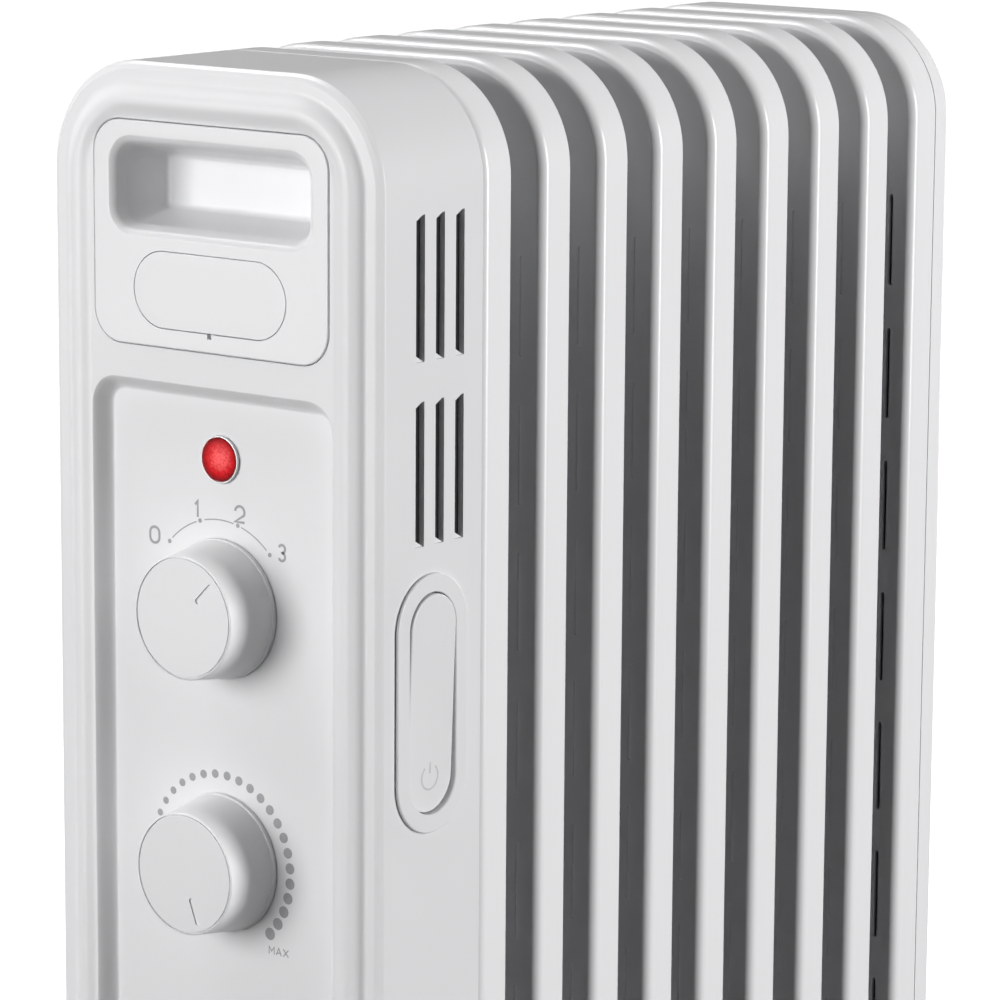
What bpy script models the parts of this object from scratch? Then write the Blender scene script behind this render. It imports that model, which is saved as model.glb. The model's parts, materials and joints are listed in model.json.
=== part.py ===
"""Oil filled radiator heater: nine pressed steel fins in a row, a control box on the front end,
a flat cover on the rear end, and two cross feet on swivel casters.

Metres, +Z up. The heater stands on its caster wheels at z = 0, its control panel faces -Y, and +X is
to the right of a person who faces that panel. The pieces are laid out from the face of the handle
panel, which is y = 0 of the parent empty, and that empty puts the whole heater over the world origin.
"""

import math

import bmesh
import bpy
from mathutils import Vector

# Driving dimensions
TOP = 0.640
FIN_BOTTOM = 0.066
FIN_WIDTH = 0.174
FIN_COUNT = 9
FIN_PITCH = 0.040
FIN_BAND = 0.0178
CORNER_RADIUS = 0.045
GAP = 0.0003

# Fins
SHEET = 0.0012
FIRST_FIN_Y = 0.068
FOLD_RADIUS = 0.0042
CHAMBER_HALF_WIDTH = 0.062
CHAMBER_REACH_FRONT = 0.004
FIRST_CHAMBER_REACH_FRONT = 0.0012
CHAMBER_BACK = 0.008
CHAMBER_CHAMFER = 0.002
HUB_RADIUS = 0.020
HUB_REACH_BACK = 0.0218
FIRST_HUB_FRONT = 0.0662
FIN_CORNER_STEPS = 4
HUB_SIDES = 12
TOP_BORE_RADIUS = 0.009
BOTTOM_BORE_RADIUS = 0.015
TOP_HUB_Z = TOP - CORNER_RADIUS
BOTTOM_HUB_Z = FIN_BOTTOM + CORNER_RADIUS

# Control box
WALL = 0.0025
FACE_Y = 0.0004
CREST_Y = -0.0012
BAND_Y = 0.0026
HOUSING_BACK = FIRST_FIN_Y - GAP
RECESS_DEPTH = 0.0070
RECESS_HALF_WIDTH = 0.064
RECESS_TOP = 0.5105
RECESS_BOTTOM = 0.112
RECESS_RADIUS = 0.0125
FLOOR_BACK = RECESS_DEPTH + WALL
PANEL_HALF_WIDTH = 0.062
PANEL_TOP = 0.6163
PANEL_BOTTOM = 0.5247
PANEL_RADIUS = 0.014
PANEL_THICKNESS = 0.0036
POCKET_HALF_WIDTH = 0.0542
POCKET_TOP = 0.6101
POCKET_BOTTOM = 0.5690
POCKET_RADIUS = 0.012
POCKET_DEPTH = 0.026
BADGE_HALF_WIDTH = 0.0403
BADGE_HALF_HEIGHT = 0.0157
BADGE_Z = 0.5483
BADGE_SINK = 0.0022
NOTCH_SIDE = 0.0022

# Controls
LAMP_Z = 0.4805
LAMP_HOLE_RADIUS = 0.0090
SELECTOR_Z = 0.4186
THERMOSTAT_Z = 0.3118
KNOB_FACE_Y = -0.0173
KNOB_FACE_RADIUS = 0.0256
KNOB_BASE_RADIUS = 0.0285
KNOB_FLANGE_RADIUS = 0.0292
POINTER_REACH = 0.0160
POINTER_HALF_LENGTH = 0.0058
POINTER_HALF_WIDTH = 0.0011
SHAFT_RADIUS = 0.0030
SHAFT_HOLE_RADIUS = 0.0045
SELECTOR_POINTER = 45
THERMOSTAT_POINTER = 160
SWITCH_HALF_HEIGHT = 0.015
SELECTOR_BACK = 0.032
THERMOSTAT_BACK = 0.034
ROCKER_Y = 0.0340
ROCKER_Z = 0.3870
ROCKER_HALF_WIDTH = 0.0143
ROCKER_HALF_HEIGHT = 0.0453
ROCKER_PIVOT_X = 0.0850
ROCKER_TILT = 2
VENT_WIDTH = 0.0055
VENT_HEIGHT = 0.0588
VENT_FIRST_Y = 0.02705
VENT_PITCH = 0.0127
VENT_HIGH_Z = 0.5560
VENT_LOW_Z = 0.4813

# Parts inside the control box
BLOCK_TOP = 0.196
CUTOUT_X = 0.030
CUTOUT_Z = 0.250
CUTOUT_RADIUS = 0.0080
LEAD_RADIUS = 0.0014
LEAD_BEND = 0.006
ELEMENT_HEAD_FRONT = 0.0560
ELEMENT_PIN_FRONT = 0.047
ELEMENT_LEG = 0.0075
GLAND_Y = 0.040

# End cover
COVER_FRONT = FIRST_FIN_Y + (FIN_COUNT - 1) * FIN_PITCH + FIN_BAND + GAP
COVER_DEPTH = 0.0150
COVER_BACK = COVER_FRONT + COVER_DEPTH
COVER_SHEET = 0.0015
SCREW_HEAD_RADIUS = 0.0040
SCREW_HEAD_HEIGHT = 0.0018
SCREW_RADIUS = 0.0020

# Feet and casters
FOOT_HALF_LENGTH = 0.120
FOOT_HALF_DEPTH = 0.018
FOOT_SHEET = 0.003
FOOT_TOP = FIN_BOTTOM - GAP
FOOT_HEIGHT = 0.010
FOOT_CLEARANCE = (FIN_PITCH + FIN_BAND) / 2
FRONT_FOOT_Y = FIRST_FIN_Y + FIN_PITCH + FOOT_CLEARANCE
REAR_FOOT_Y = FIRST_FIN_Y + (FIN_COUNT - 3) * FIN_PITCH + FOOT_CLEARANCE
BOLT_RADIUS = 0.0028
BOLT_SPREAD = HUB_RADIUS + BOLT_RADIUS + 0.001
BOLT_END_Z = 0.050
CASTER_X = 0.104
CASTER_TRAIL = 0.012
WHEEL_RADIUS = 0.020
WHEEL_HALF_WIDTH = 0.008
AXLE_RADIUS = 0.0027
ARM_INNER = WHEEL_HALF_WIDTH + 0.0008
ARM_OUTER = ARM_INNER + 0.0025
CROWN_RADIUS = 0.0125
CROWN_BOTTOM = 0.0435

# The heater's length runs from the knobs' faces to the heads of the end cover's screws.
OVERALL_BACK = COVER_BACK + GAP + SCREW_HEAD_HEIGHT
FRAME_Y = -(OVERALL_BACK + KNOB_FACE_Y) / 2

WHITE_SHELL = (0.80, 0.80, 0.81)
WHITE_STEEL = (0.79, 0.79, 0.80)


def material(name, colour, roughness, metallic=0.0):
    """A Principled material, made once for each name."""
    made = bpy.data.materials.get(name)
    if made is None:
        made = bpy.data.materials.new(name)
        made.use_nodes = True
        shader = made.node_tree.nodes["Principled BSDF"]
        shader.inputs["Base Color"].default_value = (*colour, 1.0)
        shader.inputs["Roughness"].default_value = roughness
        shader.inputs["Metallic"].default_value = metallic
    return made


def outline(half_x, half_z, radius, steps=5):
    """A round-cornered rectangle about (0, 0), as (x, z) pairs, anticlockwise seen from the front."""
    points = []
    for side_x, side_z, start in ((1, -1, -90), (1, 1, 0), (-1, 1, 90), (-1, -1, 180)):
        for step in range(steps + 1):
            angle = math.radians(start + 90 * step / steps)
            x = side_x * (half_x - radius) + radius * math.cos(angle)
            z = side_z * (half_z - radius) + radius * math.sin(angle)
            if not points or math.dist(points[-1], (x, z)) > 1e-6:
                points.append((x, z))
    if math.dist(points[0], points[-1]) < 1e-6:
        points.pop()
    return points


def mesh_object(name, vertices, faces, finish=None, at=(0, 0, 0)):
    """A closed mesh with its faces pointing out, shaded smooth except at real corners."""
    work = bmesh.new()
    placed = [work.verts.new(vertex) for vertex in vertices]
    for face in faces:
        work.faces.new([placed[index] for index in face])
    bmesh.ops.recalc_face_normals(work, faces=work.faces)
    mesh = bpy.data.meshes.new(name)
    work.to_mesh(mesh)
    work.free()
    mesh.shade_smooth()
    mesh.set_sharp_from_angle(angle=math.radians(32))
    return shared_object(name, mesh, finish, at)


def shared_object(name, mesh, finish=None, at=(0, 0, 0)):
    """An object on a mesh that others may use too, parented to the heater's frame."""
    made = bpy.data.objects.new(name, mesh)
    bpy.context.scene.collection.objects.link(made)
    made.location = at
    made.parent = bpy.data.objects["heater_frame"]
    if finish is not None and not mesh.materials:
        mesh.materials.append(finish)
    return made


def loft(name, rings, finish=None, at=(0, 0, 0), closed=False):
    """Rings of equally many points joined by quads. The end rings are capped, or joined when closed."""
    count = len(rings[0])
    vertices = [point for ring in rings for point in ring]
    spans = len(rings) if closed else len(rings) - 1
    faces = []
    for span in range(spans):
        low = span * count
        high = (span + 1) % len(rings) * count
        for index in range(count):
            after = (index + 1) % count
            faces.append((low + index, low + after, high + after, high + index))
    if not closed:
        faces.append(tuple(range(count)))
        faces.append(tuple(range(len(vertices) - count, len(vertices))))
    return mesh_object(name, vertices, faces, finish, at)


def stacked(name, half_x, half_z, radius, profile, finish=None, at=(0, 0, 0), steps=5):
    """A loft along Y of one rounded rectangle, drawn in by each inset of (inset, y) in the profile."""
    rings = []
    for inset, y in profile:
        flat = outline(half_x - inset, half_z - inset, radius - inset, steps)
        rings.append([(x, y, z) for x, z in flat])
    return loft(name, rings, finish, at)


def sideways(name, half_y, half_z, radius, profile, finish=None, at=(0, 0, 0), steps=6):
    """The same loft along X, for pieces set into the right-hand wall."""
    rings = []
    for inset, x in profile:
        flat = outline(half_y - inset, half_z - inset, radius - inset, steps)
        rings.append([(x, y, z) for y, z in flat])
    return loft(name, rings, finish, at)


def box(name, low, high, finish=None, at=(0, 0, 0)):
    """A block between two opposite corners."""
    ring_low = [(low[0], low[1], low[2]), (high[0], low[1], low[2]),
                (high[0], high[1], low[2]), (low[0], high[1], low[2])]
    ring_high = [(x, y, high[2]) for x, y, _ in ring_low]
    return loft(name, [ring_low, ring_high], finish, at)


def turned(name, profile, steps=32, axis="Y", finish=None, at=(0, 0, 0), bored=False):
    """A profile of (radius, distance along the axis) spun about that axis; bored closes it on itself."""
    rings = []
    for radius, along in profile:
        ring = []
        for step in range(steps):
            angle = math.tau * step / steps
            first = radius * math.cos(angle)
            second = radius * math.sin(angle)
            ring.append({"X": (along, first, second), "Y": (first, along, second),
                         "Z": (first, second, along)}[axis])
        rings.append(ring)
    return loft(name, rings, finish, at, closed=bored)


def rounded_route(corners, radius, steps=5):
    """Points along straight runs between the corners, with each inner corner turned as an arc."""
    route = [Vector(corners[0])]
    for before, corner, after in zip(corners, corners[1:], corners[2:]):
        corner = Vector(corner)
        into = (corner - Vector(before)).normalized()
        out = (Vector(after) - corner).normalized()
        turn = into.angle(out)
        reach = radius * math.tan(turn / 2)
        start = corner - into * reach
        centre = start + (out - into * into.dot(out)).normalized() * radius
        spoke = start - centre
        for step in range(steps + 1):
            swept = turn * step / steps
            route.append(centre + spoke * math.cos(swept) + into * radius * math.sin(swept))
    route.append(Vector(corners[-1]))
    return route


def tube(name, route, radius, sides=8, finish=None, at=(0, 0, 0)):
    """A round rod swept along a route, its rings carried round each turn without twist."""
    route = [Vector(point) for point in route]
    heading = (route[1] - route[0]).normalized()
    side = heading.orthogonal().normalized()
    rings = []
    for index, point in enumerate(route):
        before = route[max(index - 1, 0)]
        after = route[min(index + 1, len(route) - 1)]
        new_heading = (after - before).normalized()
        side = heading.rotation_difference(new_heading) @ side
        side = (side - new_heading * side.dot(new_heading)).normalized()
        heading = new_heading
        other = heading.cross(side)
        ring = []
        for step in range(sides):
            angle = math.tau * step / sides
            ring.append(point + radius * (side * math.cos(angle) + other * math.sin(angle)))
        rings.append(ring)
    return loft(name, rings, finish, at)


def combine(target, tool, operation):
    """Adds a Boolean of the tool to the target, and keeps the tool out of the model."""
    modifier = target.modifiers.new(tool.name, "BOOLEAN")
    modifier.operation = operation
    modifier.solver = "EXACT"
    modifier.object = tool
    tool.hide_render = True
    tool.display_type = "WIRE"


def cut(target, *tools):
    for tool in tools:
        combine(target, tool, "DIFFERENCE")


def join(target, *tools):
    for tool in tools:
        combine(target, tool, "UNION")


def settled_mesh(target, name):
    """The mesh that an object's modifiers give, for copies to share."""
    bpy.context.view_layer.update()
    graph = bpy.context.evaluated_depsgraph_get()
    mesh = bpy.data.meshes.new_from_object(target.evaluated_get(graph))
    mesh.name = name
    return mesh


def retire(target):
    """Turns a finished pattern into a guide that the model leaves out."""
    target.hide_render = True
    target.display_type = "WIRE"


def middle(low, high):
    return (low + high) / 2


def half(low, high):
    return (high - low) / 2


def fin_mesh(label, chamber_reach, front_reach, back_reach, finish):
    """One fin: a folded steel tray, the oil chamber pressed into it, and its two tube hubs."""
    centre_z = middle(FIN_BOTTOM, TOP)
    tray = stacked(
        f"fin_pattern_{label}", FIN_WIDTH / 2, half(FIN_BOTTOM, TOP), CORNER_RADIUS,
        [(FOLD_RADIUS, 0), (FOLD_RADIUS * 0.3, FOLD_RADIUS * 0.3), (0, FOLD_RADIUS), (0, FIN_BAND),
         (SHEET, FIN_BAND), (SHEET, FOLD_RADIUS), (SHEET + 0.0010, SHEET + 0.0010), (FOLD_RADIUS, SHEET)],
        finish, (0, 0, centre_z), FIN_CORNER_STEPS)
    chamber = stacked(
        f"chamber_pattern_{label}", CHAMBER_HALF_WIDTH, half(BOTTOM_HUB_Z, TOP_HUB_Z) + HUB_RADIUS + 0.003,
        0.020,
        [(CHAMBER_CHAMFER, -chamber_reach), (0, CHAMBER_CHAMFER - chamber_reach),
         (0, CHAMBER_BACK - CHAMBER_CHAMFER), (CHAMBER_CHAMFER, CHAMBER_BACK)],
        None, (0, 0, middle(BOTTOM_HUB_Z, TOP_HUB_Z)), steps=3)
    join(tray, chamber)
    for place, hub_z, bore in (("top", TOP_HUB_Z, TOP_BORE_RADIUS),
                               ("bottom", BOTTOM_HUB_Z, BOTTOM_BORE_RADIUS)):
        hub = turned(f"{place}_hub_pattern_{label}", [(HUB_RADIUS, -front_reach), (HUB_RADIUS, back_reach)],
                     HUB_SIDES, at=(0, 0, hub_z))
        hole = turned(f"{place}_bore_pattern_{label}", [(bore, -0.03), (bore, 0.03)], HUB_SIDES,
                      at=(0, 0, hub_z))
        join(tray, hub)
        cut(tray, hole)
    mesh = settled_mesh(tray, f"fin_{label}")
    retire(tray)
    return mesh


def build_fins():
    finish = material("fin_enamel", WHITE_STEEL, 0.35)
    hub_front = FIN_PITCH - HUB_REACH_BACK - GAP
    end_front = FIRST_FIN_Y - FIRST_HUB_FRONT
    meshes = {0: fin_mesh("first", FIRST_CHAMBER_REACH_FRONT, end_front, HUB_REACH_BACK, finish),
              FIN_COUNT - 1: fin_mesh("last", CHAMBER_REACH_FRONT, hub_front, FIN_BAND, finish)}
    between = fin_mesh("middle", CHAMBER_REACH_FRONT, hub_front, HUB_REACH_BACK, finish)
    for index in range(FIN_COUNT):
        mesh = meshes.get(index, between)
        place = (0, FIRST_FIN_Y + index * FIN_PITCH, middle(FIN_BOTTOM, TOP))
        shared_object(f"fin_{index + 1}", mesh, finish, place)


def vent_cutter():
    """Both banks of three slots through both side walls, as one cutter."""
    work = bmesh.new()
    for z in (VENT_HIGH_Z, VENT_LOW_Z):
        for column in range(3):
            y = VENT_FIRST_Y + column * VENT_PITCH
            for side in (-1, 1):
                x = side * (FIN_WIDTH / 2 - WALL / 2)
                made = bmesh.ops.create_cube(work, size=1)
                bmesh.ops.scale(work, vec=(3 * WALL, VENT_WIDTH, VENT_HEIGHT), verts=made["verts"])
                bmesh.ops.translate(work, vec=(x, y, z), verts=made["verts"])
    mesh = bpy.data.meshes.new("vent_cutter")
    work.to_mesh(mesh)
    work.free()
    return shared_object("vent_cutter", mesh)


def build_housing():
    """The one-piece control box: a face that swells to a crest and steps down to an outer band, a sunk
    dial panel, and deep side walls."""
    half_x = FIN_WIDTH / 2
    half_z = half(FIN_BOTTOM, TOP)
    housing = stacked(
        "control_housing", half_x, half_z, CORNER_RADIUS,
        [(0.0225, FACE_Y), (0.0168, CREST_Y + 0.0001), (0.0150, CREST_Y), (0.0130, -0.0006), (0.0112, 0.0007),
         (0.0094, 0.0019), (0.0074, BAND_Y - 0.0001), (0.0026, BAND_Y), (0.0008, 0.0034), (0, 0.0050),
         (0, HOUSING_BACK), (WALL, HOUSING_BACK), (WALL, BAND_Y + 2 * WALL), (0.0085, BAND_Y + WALL),
         (0.0160, FACE_Y + WALL)],
        material("housing_plastic", WHITE_SHELL, 0.38), (0, 0, middle(FIN_BOTTOM, TOP)))
    recess_z = middle(RECESS_BOTTOM, RECESS_TOP)
    recess_half = half(RECESS_BOTTOM, RECESS_TOP)
    tub = stacked("recess_tub", RECESS_HALF_WIDTH + WALL, recess_half + WALL, RECESS_RADIUS + WALL,
                  [(0, 0.0015), (0, FLOOR_BACK)], None, (0, 0, recess_z))
    hollow = stacked("recess_hollow", RECESS_HALF_WIDTH, recess_half, RECESS_RADIUS,
                     [(-0.0006, -0.001), (-0.0006, FACE_Y), (0.0010, 0.0014), (0.0026, 0.0034),
                      (0.0044, 0.0058), (0.0062, RECESS_DEPTH)], None, (0, 0, recess_z))
    window = stacked("handle_window", PANEL_HALF_WIDTH + GAP, half(PANEL_BOTTOM, PANEL_TOP) + GAP,
                     PANEL_RADIUS + GAP, [(0, -0.002), (0, 0.006)], None,
                     (0, 0, middle(PANEL_BOTTOM, PANEL_TOP)))
    join(housing, tub)
    cut(housing, hollow, window, vent_cutter())
    for name, radius, z in (("lamp_hole", LAMP_HOLE_RADIUS, LAMP_Z),
                            ("selector_hole", SHAFT_HOLE_RADIUS, SELECTOR_Z),
                            ("thermostat_hole", SHAFT_HOLE_RADIUS, THERMOSTAT_Z)):
        cut(housing, turned(name, [(radius, 0.004), (radius, 0.016)], 24, at=(0, 0, z)))
    rocker_hole = sideways("rocker_hole", ROCKER_HALF_WIDTH + 0.0023, ROCKER_HALF_HEIGHT + 0.0023,
                           ROCKER_HALF_WIDTH + 0.0023, [(0, 0.080), (0, 0.090)], None,
                           (0, ROCKER_Y, ROCKER_Z))
    gland_hole = turned("gland_hole", [(0.0063, -0.006), (0.0063, 0.006)], 20, "Z",
                        at=(0, GLAND_Y, FIN_BOTTOM))
    cut(housing, rocker_hole, gland_hole)


def build_handle_panel():
    """The panel with the grip pocket, and the blank plate that snaps over its lower half."""
    finish = material("panel_plastic", (0.84, 0.84, 0.85), 0.34)
    panel = stacked("handle_panel", PANEL_HALF_WIDTH, half(PANEL_BOTTOM, PANEL_TOP), PANEL_RADIUS,
                    [(0.0004, 0), (0, 0.0004), (0, PANEL_THICKNESS)], finish,
                    (0, 0, middle(PANEL_BOTTOM, PANEL_TOP)))
    pocket_z = middle(POCKET_BOTTOM, POCKET_TOP)
    pocket_half = half(POCKET_BOTTOM, POCKET_TOP)
    tub = stacked("pocket_tub", POCKET_HALF_WIDTH - 0.0015, pocket_half - 0.0015, POCKET_RADIUS,
                  [(0, 0.002), (0, 0.008), (0.005, POCKET_DEPTH + WALL)], None, (0, 0, pocket_z))
    hollow = stacked("pocket_hollow", POCKET_HALF_WIDTH, pocket_half, POCKET_RADIUS,
                     [(-0.0008, -0.001), (0.0002, 0.0001), (0.0018, 0.0010), (0.0034, 0.0028),
                      (0.0046, 0.0060), (0.0096, POCKET_DEPTH - 0.002), (0.0114, POCKET_DEPTH)],
                     None, (0, 0, pocket_z))
    badge_seat = stacked("badge_seat", BADGE_HALF_WIDTH + GAP, BADGE_HALF_HEIGHT + GAP,
                         BADGE_HALF_HEIGHT + GAP, [(0, -0.002), (0, BADGE_SINK)], None, (0, 0, BADGE_Z))
    notch_low = BADGE_Z - BADGE_HALF_HEIGHT - NOTCH_SIDE
    notch = box("pry_notch", (-NOTCH_SIDE / 2, -0.002, notch_low),
                (NOTCH_SIDE / 2, BADGE_SINK, notch_low + 2 * NOTCH_SIDE))
    join(panel, tub)
    cut(panel, hollow, badge_seat, notch)
    stacked("badge_plate", BADGE_HALF_WIDTH, BADGE_HALF_HEIGHT, BADGE_HALF_HEIGHT,
            [(0.0003, -0.0002), (0, 0.0001), (0, BADGE_SINK - GAP)], finish, (0, 0, BADGE_Z))


def build_lamp():
    """The mains indicator: a bezel pressed through the panel, a domed lens, and the neon tube."""
    seat = RECESS_DEPTH - GAP
    turned("lamp_bezel",
           [(0.0099, seat), (0.0099, seat - 0.0008), (0.0093, seat - 0.0015), (0.0083, seat - 0.0015),
            (0.0081, seat - 0.0010), (0.0081, seat + 0.0073), (0.0087, seat + 0.0073), (0.0087, seat)],
           24, finish=material("bezel_chrome", (0.80, 0.79, 0.78), 0.25, 0.6), at=(0, 0, LAMP_Z), bored=True)
    turned("lamp_lens",
           [(0.0010, seat - 0.0036), (0.0036, seat - 0.0032), (0.0060, seat - 0.0022),
            (0.0074, seat - 0.0009), (0.0078, seat + 0.0002), (0.0078, seat + 0.0058)],
           24, finish=material("lens_red", (0.75, 0.03, 0.03), 0.15), at=(0, 0, LAMP_Z))
    turned("neon_lamp", [(0.0015, seat + 0.0068), (0.0030, seat + 0.0083), (0.0030, seat + 0.0188)], 12,
           finish=material("neon_glass", (0.95, 0.55, 0.35), 0.1), at=(0, 0, LAMP_Z))


def build_knob(name, z, pointer):
    """A tapered knob with a cap line and a pointer groove, and the metal shaft that it is pushed on to."""
    seat = RECESS_DEPTH - GAP
    knob = turned(
        f"{name}_knob",
        [(KNOB_FACE_RADIUS - 0.0011, KNOB_FACE_Y), (KNOB_FACE_RADIUS, KNOB_FACE_Y + 0.0009),
         (KNOB_BASE_RADIUS, seat - 0.0022), (KNOB_FLANGE_RADIUS, seat - 0.0018), (KNOB_FLANGE_RADIUS, seat)],
        32, finish=material("knob_plastic", (0.80, 0.80, 0.81), 0.32), at=(0, 0, z))
    bore = turned(f"{name}_knob_bore",
                  [(SHAFT_RADIUS + GAP, -0.0045), (SHAFT_RADIUS + GAP, 0.010)], 16, at=(0, 0, z))
    groove = stacked(f"{name}_groove", POINTER_HALF_WIDTH, POINTER_HALF_LENGTH, POINTER_HALF_WIDTH - 0.00001,
                     [(0, KNOB_FACE_Y - 0.001), (0, KNOB_FACE_Y + 0.0006)], None, (0, 0, z), steps=3)
    turn = math.radians(pointer)
    groove.location.x = POINTER_REACH * math.sin(turn)
    groove.location.z = z + POINTER_REACH * math.cos(turn)
    groove.rotation_euler.y = turn
    cut(knob, bore, groove)
    turned(f"{name}_shaft", [(SHAFT_RADIUS, -0.0042), (SHAFT_RADIUS, FLOOR_BACK)], 16,
           finish=material("shaft_steel", (0.6, 0.6, 0.6), 0.35, 1.0), at=(0, 0, z))


def build_controls():
    build_knob("selector", SELECTOR_Z, SELECTOR_POINTER)
    build_knob("thermostat", THERMOSTAT_Z, THERMOSTAT_POINTER)
    black = material("switch_black", (0.03, 0.03, 0.03), 0.5)
    front = FLOOR_BACK + GAP
    box("selector_switch", (-0.015, front, -SWITCH_HALF_HEIGHT), (0.015, SELECTOR_BACK, SWITCH_HALF_HEIGHT),
        black, (0, 0, SELECTOR_Z))
    box("thermostat_body", (-0.018, front, -SWITCH_HALF_HEIGHT),
        (0.018, THERMOSTAT_BACK, SWITCH_HALF_HEIGHT),
        material("thermostat_ceramic", (0.86, 0.83, 0.76), 0.6), (0, 0, THERMOSTAT_Z))


def build_rocker():
    """The long push pad low on the right-hand wall: its bezel, the pad, and the switch behind."""
    wall = FIN_WIDTH / 2
    finish = material("rocker_plastic", (0.82, 0.82, 0.83), 0.33)
    frame = sideways("rocker_frame", 0.0225, 0.0535, 0.0225,
                     [(0.0006, wall + 0.0018), (0, wall + 0.0012), (0, wall + GAP)], finish,
                     (0, ROCKER_Y, ROCKER_Z))
    neck = sideways("rocker_neck", ROCKER_HALF_WIDTH + 0.0020, ROCKER_HALF_HEIGHT + 0.0020,
                    ROCKER_HALF_WIDTH + 0.0020, [(0, 0.0815), (0, wall + 0.001)], None,
                    (0, ROCKER_Y, ROCKER_Z))
    hole = sideways("rocker_frame_hole", ROCKER_HALF_WIDTH + 0.0006, ROCKER_HALF_HEIGHT + 0.0006,
                    ROCKER_HALF_WIDTH + 0.0006, [(0, 0.080), (0, 0.092)], None, (0, ROCKER_Y, ROCKER_Z))
    join(frame, neck)
    cut(frame, hole)
    button = sideways("rocker_button", ROCKER_HALF_WIDTH, ROCKER_HALF_HEIGHT, ROCKER_HALF_WIDTH,
                      [(0, -0.0022), (0, 0.0024), (0.0008, 0.0032)], finish,
                      (ROCKER_PIVOT_X, ROCKER_Y, ROCKER_Z))
    button.rotation_euler.y = math.radians(ROCKER_TILT)
    box("rocker_switch", (0.060, -0.012, -0.030), (0.0795, 0.012, 0.030),
        material("switch_black", (0.03, 0.03, 0.03), 0.5), (0, ROCKER_Y, ROCKER_Z))


def build_heat_shield():
    """The steel plate that closes the back of the control box, with holes for the two oil hubs."""
    shield = stacked("heat_shield", FIN_WIDTH / 2 - WALL - GAP, half(FIN_BOTTOM, TOP) - WALL - GAP,
                     CORNER_RADIUS - WALL - GAP, [(0, 0.0650), (0, 0.0665)],
                     material("zinc_plate", (0.62, 0.63, 0.64), 0.4, 1.0), (0, 0, middle(FIN_BOTTOM, TOP)))
    for name, z in (("top_shield_hole", TOP_HUB_Z), ("bottom_shield_hole", BOTTOM_HUB_Z)):
        cut(shield, turned(name, [(HUB_RADIUS + 0.001, 0.06), (HUB_RADIUS + 0.001, 0.07)], 24, at=(0, 0, z)))


def build_heating_element():
    """A hairpin heater on a hexagonal screw-in head, in the oil of the bottom tube, and its seal."""
    steel = material("element_steel", (0.55, 0.53, 0.50), 0.4, 1.0)
    head = turned("heating_element", [(0.0190, ELEMENT_HEAD_FRONT), (0.0190, 0.0645)], 6, finish=steel,
                  at=(0, 0, BOTTOM_HUB_Z))
    thread = turned("element_thread", [(BOTTOM_BORE_RADIUS - GAP, 0.060), (BOTTOM_BORE_RADIUS - GAP, 0.084)],
                    HUB_SIDES, at=(0, 0, BOTTOM_HUB_Z))
    far = FIRST_FIN_Y + 6.5 * FIN_PITCH
    leg = ELEMENT_LEG
    hairpin = tube("element_hairpin",
                   rounded_route([(leg, 0.080, 0), (leg, far, 0), (-leg, far, 0), (-leg, 0.080, 0)],
                                 leg - 0.0002),
                   0.0040, 8, at=(0, 0, BOTTOM_HUB_Z))
    join(head, thread, hairpin)
    for side in (-1, 1):
        join(head, turned(f"element_pin_{side}", [(0.0020, ELEMENT_PIN_FRONT), (0.0020, 0.058)], 10,
                          at=(side * leg, 0, BOTTOM_HUB_Z)))
    turned("element_seal", [(0.0196, 0.0648), (0.0196, 0.0659), (0.0153, 0.0659), (0.0153, 0.0648)], 24,
           finish=material("seal_fibre", (0.35, 0.12, 0.08), 0.8), at=(0, 0, BOTTOM_HUB_Z), bored=True)


def build_oil_plugs():
    """The filler plug at the front of the top tube, and the plugs that close both tubes at the rear."""
    steel = material("plug_steel", (0.55, 0.53, 0.50), 0.4, 1.0)
    head = turned("filler_plug", [(0.0130, 0.0590), (0.0130, 0.0659)], 6, finish=steel, at=(0, 0, TOP_HUB_Z))
    join(head, turned("filler_thread", [(TOP_BORE_RADIUS - GAP, 0.062), (TOP_BORE_RADIUS - GAP, 0.080)],
                      HUB_SIDES, at=(0, 0, TOP_HUB_Z)))
    seat = FIRST_FIN_Y + (FIN_COUNT - 1) * FIN_PITCH + FIN_BAND
    for name, bore, z in (("top_rear_plug", TOP_BORE_RADIUS, TOP_HUB_Z),
                          ("bottom_rear_plug", BOTTOM_BORE_RADIUS, BOTTOM_HUB_Z)):
        plug = turned(name, [(bore + 0.003, seat + GAP), (bore + 0.003, seat + 0.008)], 6, finish=steel,
                      at=(0, 0, z))
        join(plug, turned(f"{name}_thread", [(bore - GAP, seat - 0.016), (bore - GAP, seat + 0.003)],
                          HUB_SIDES, at=(0, 0, z)))
        cut(plug, turned(f"{name}_hole", [(SCREW_RADIUS + GAP, seat - 0.006),
                                          (SCREW_RADIUS + GAP, seat + 0.012)], 12, at=(0, 0, z)))


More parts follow.
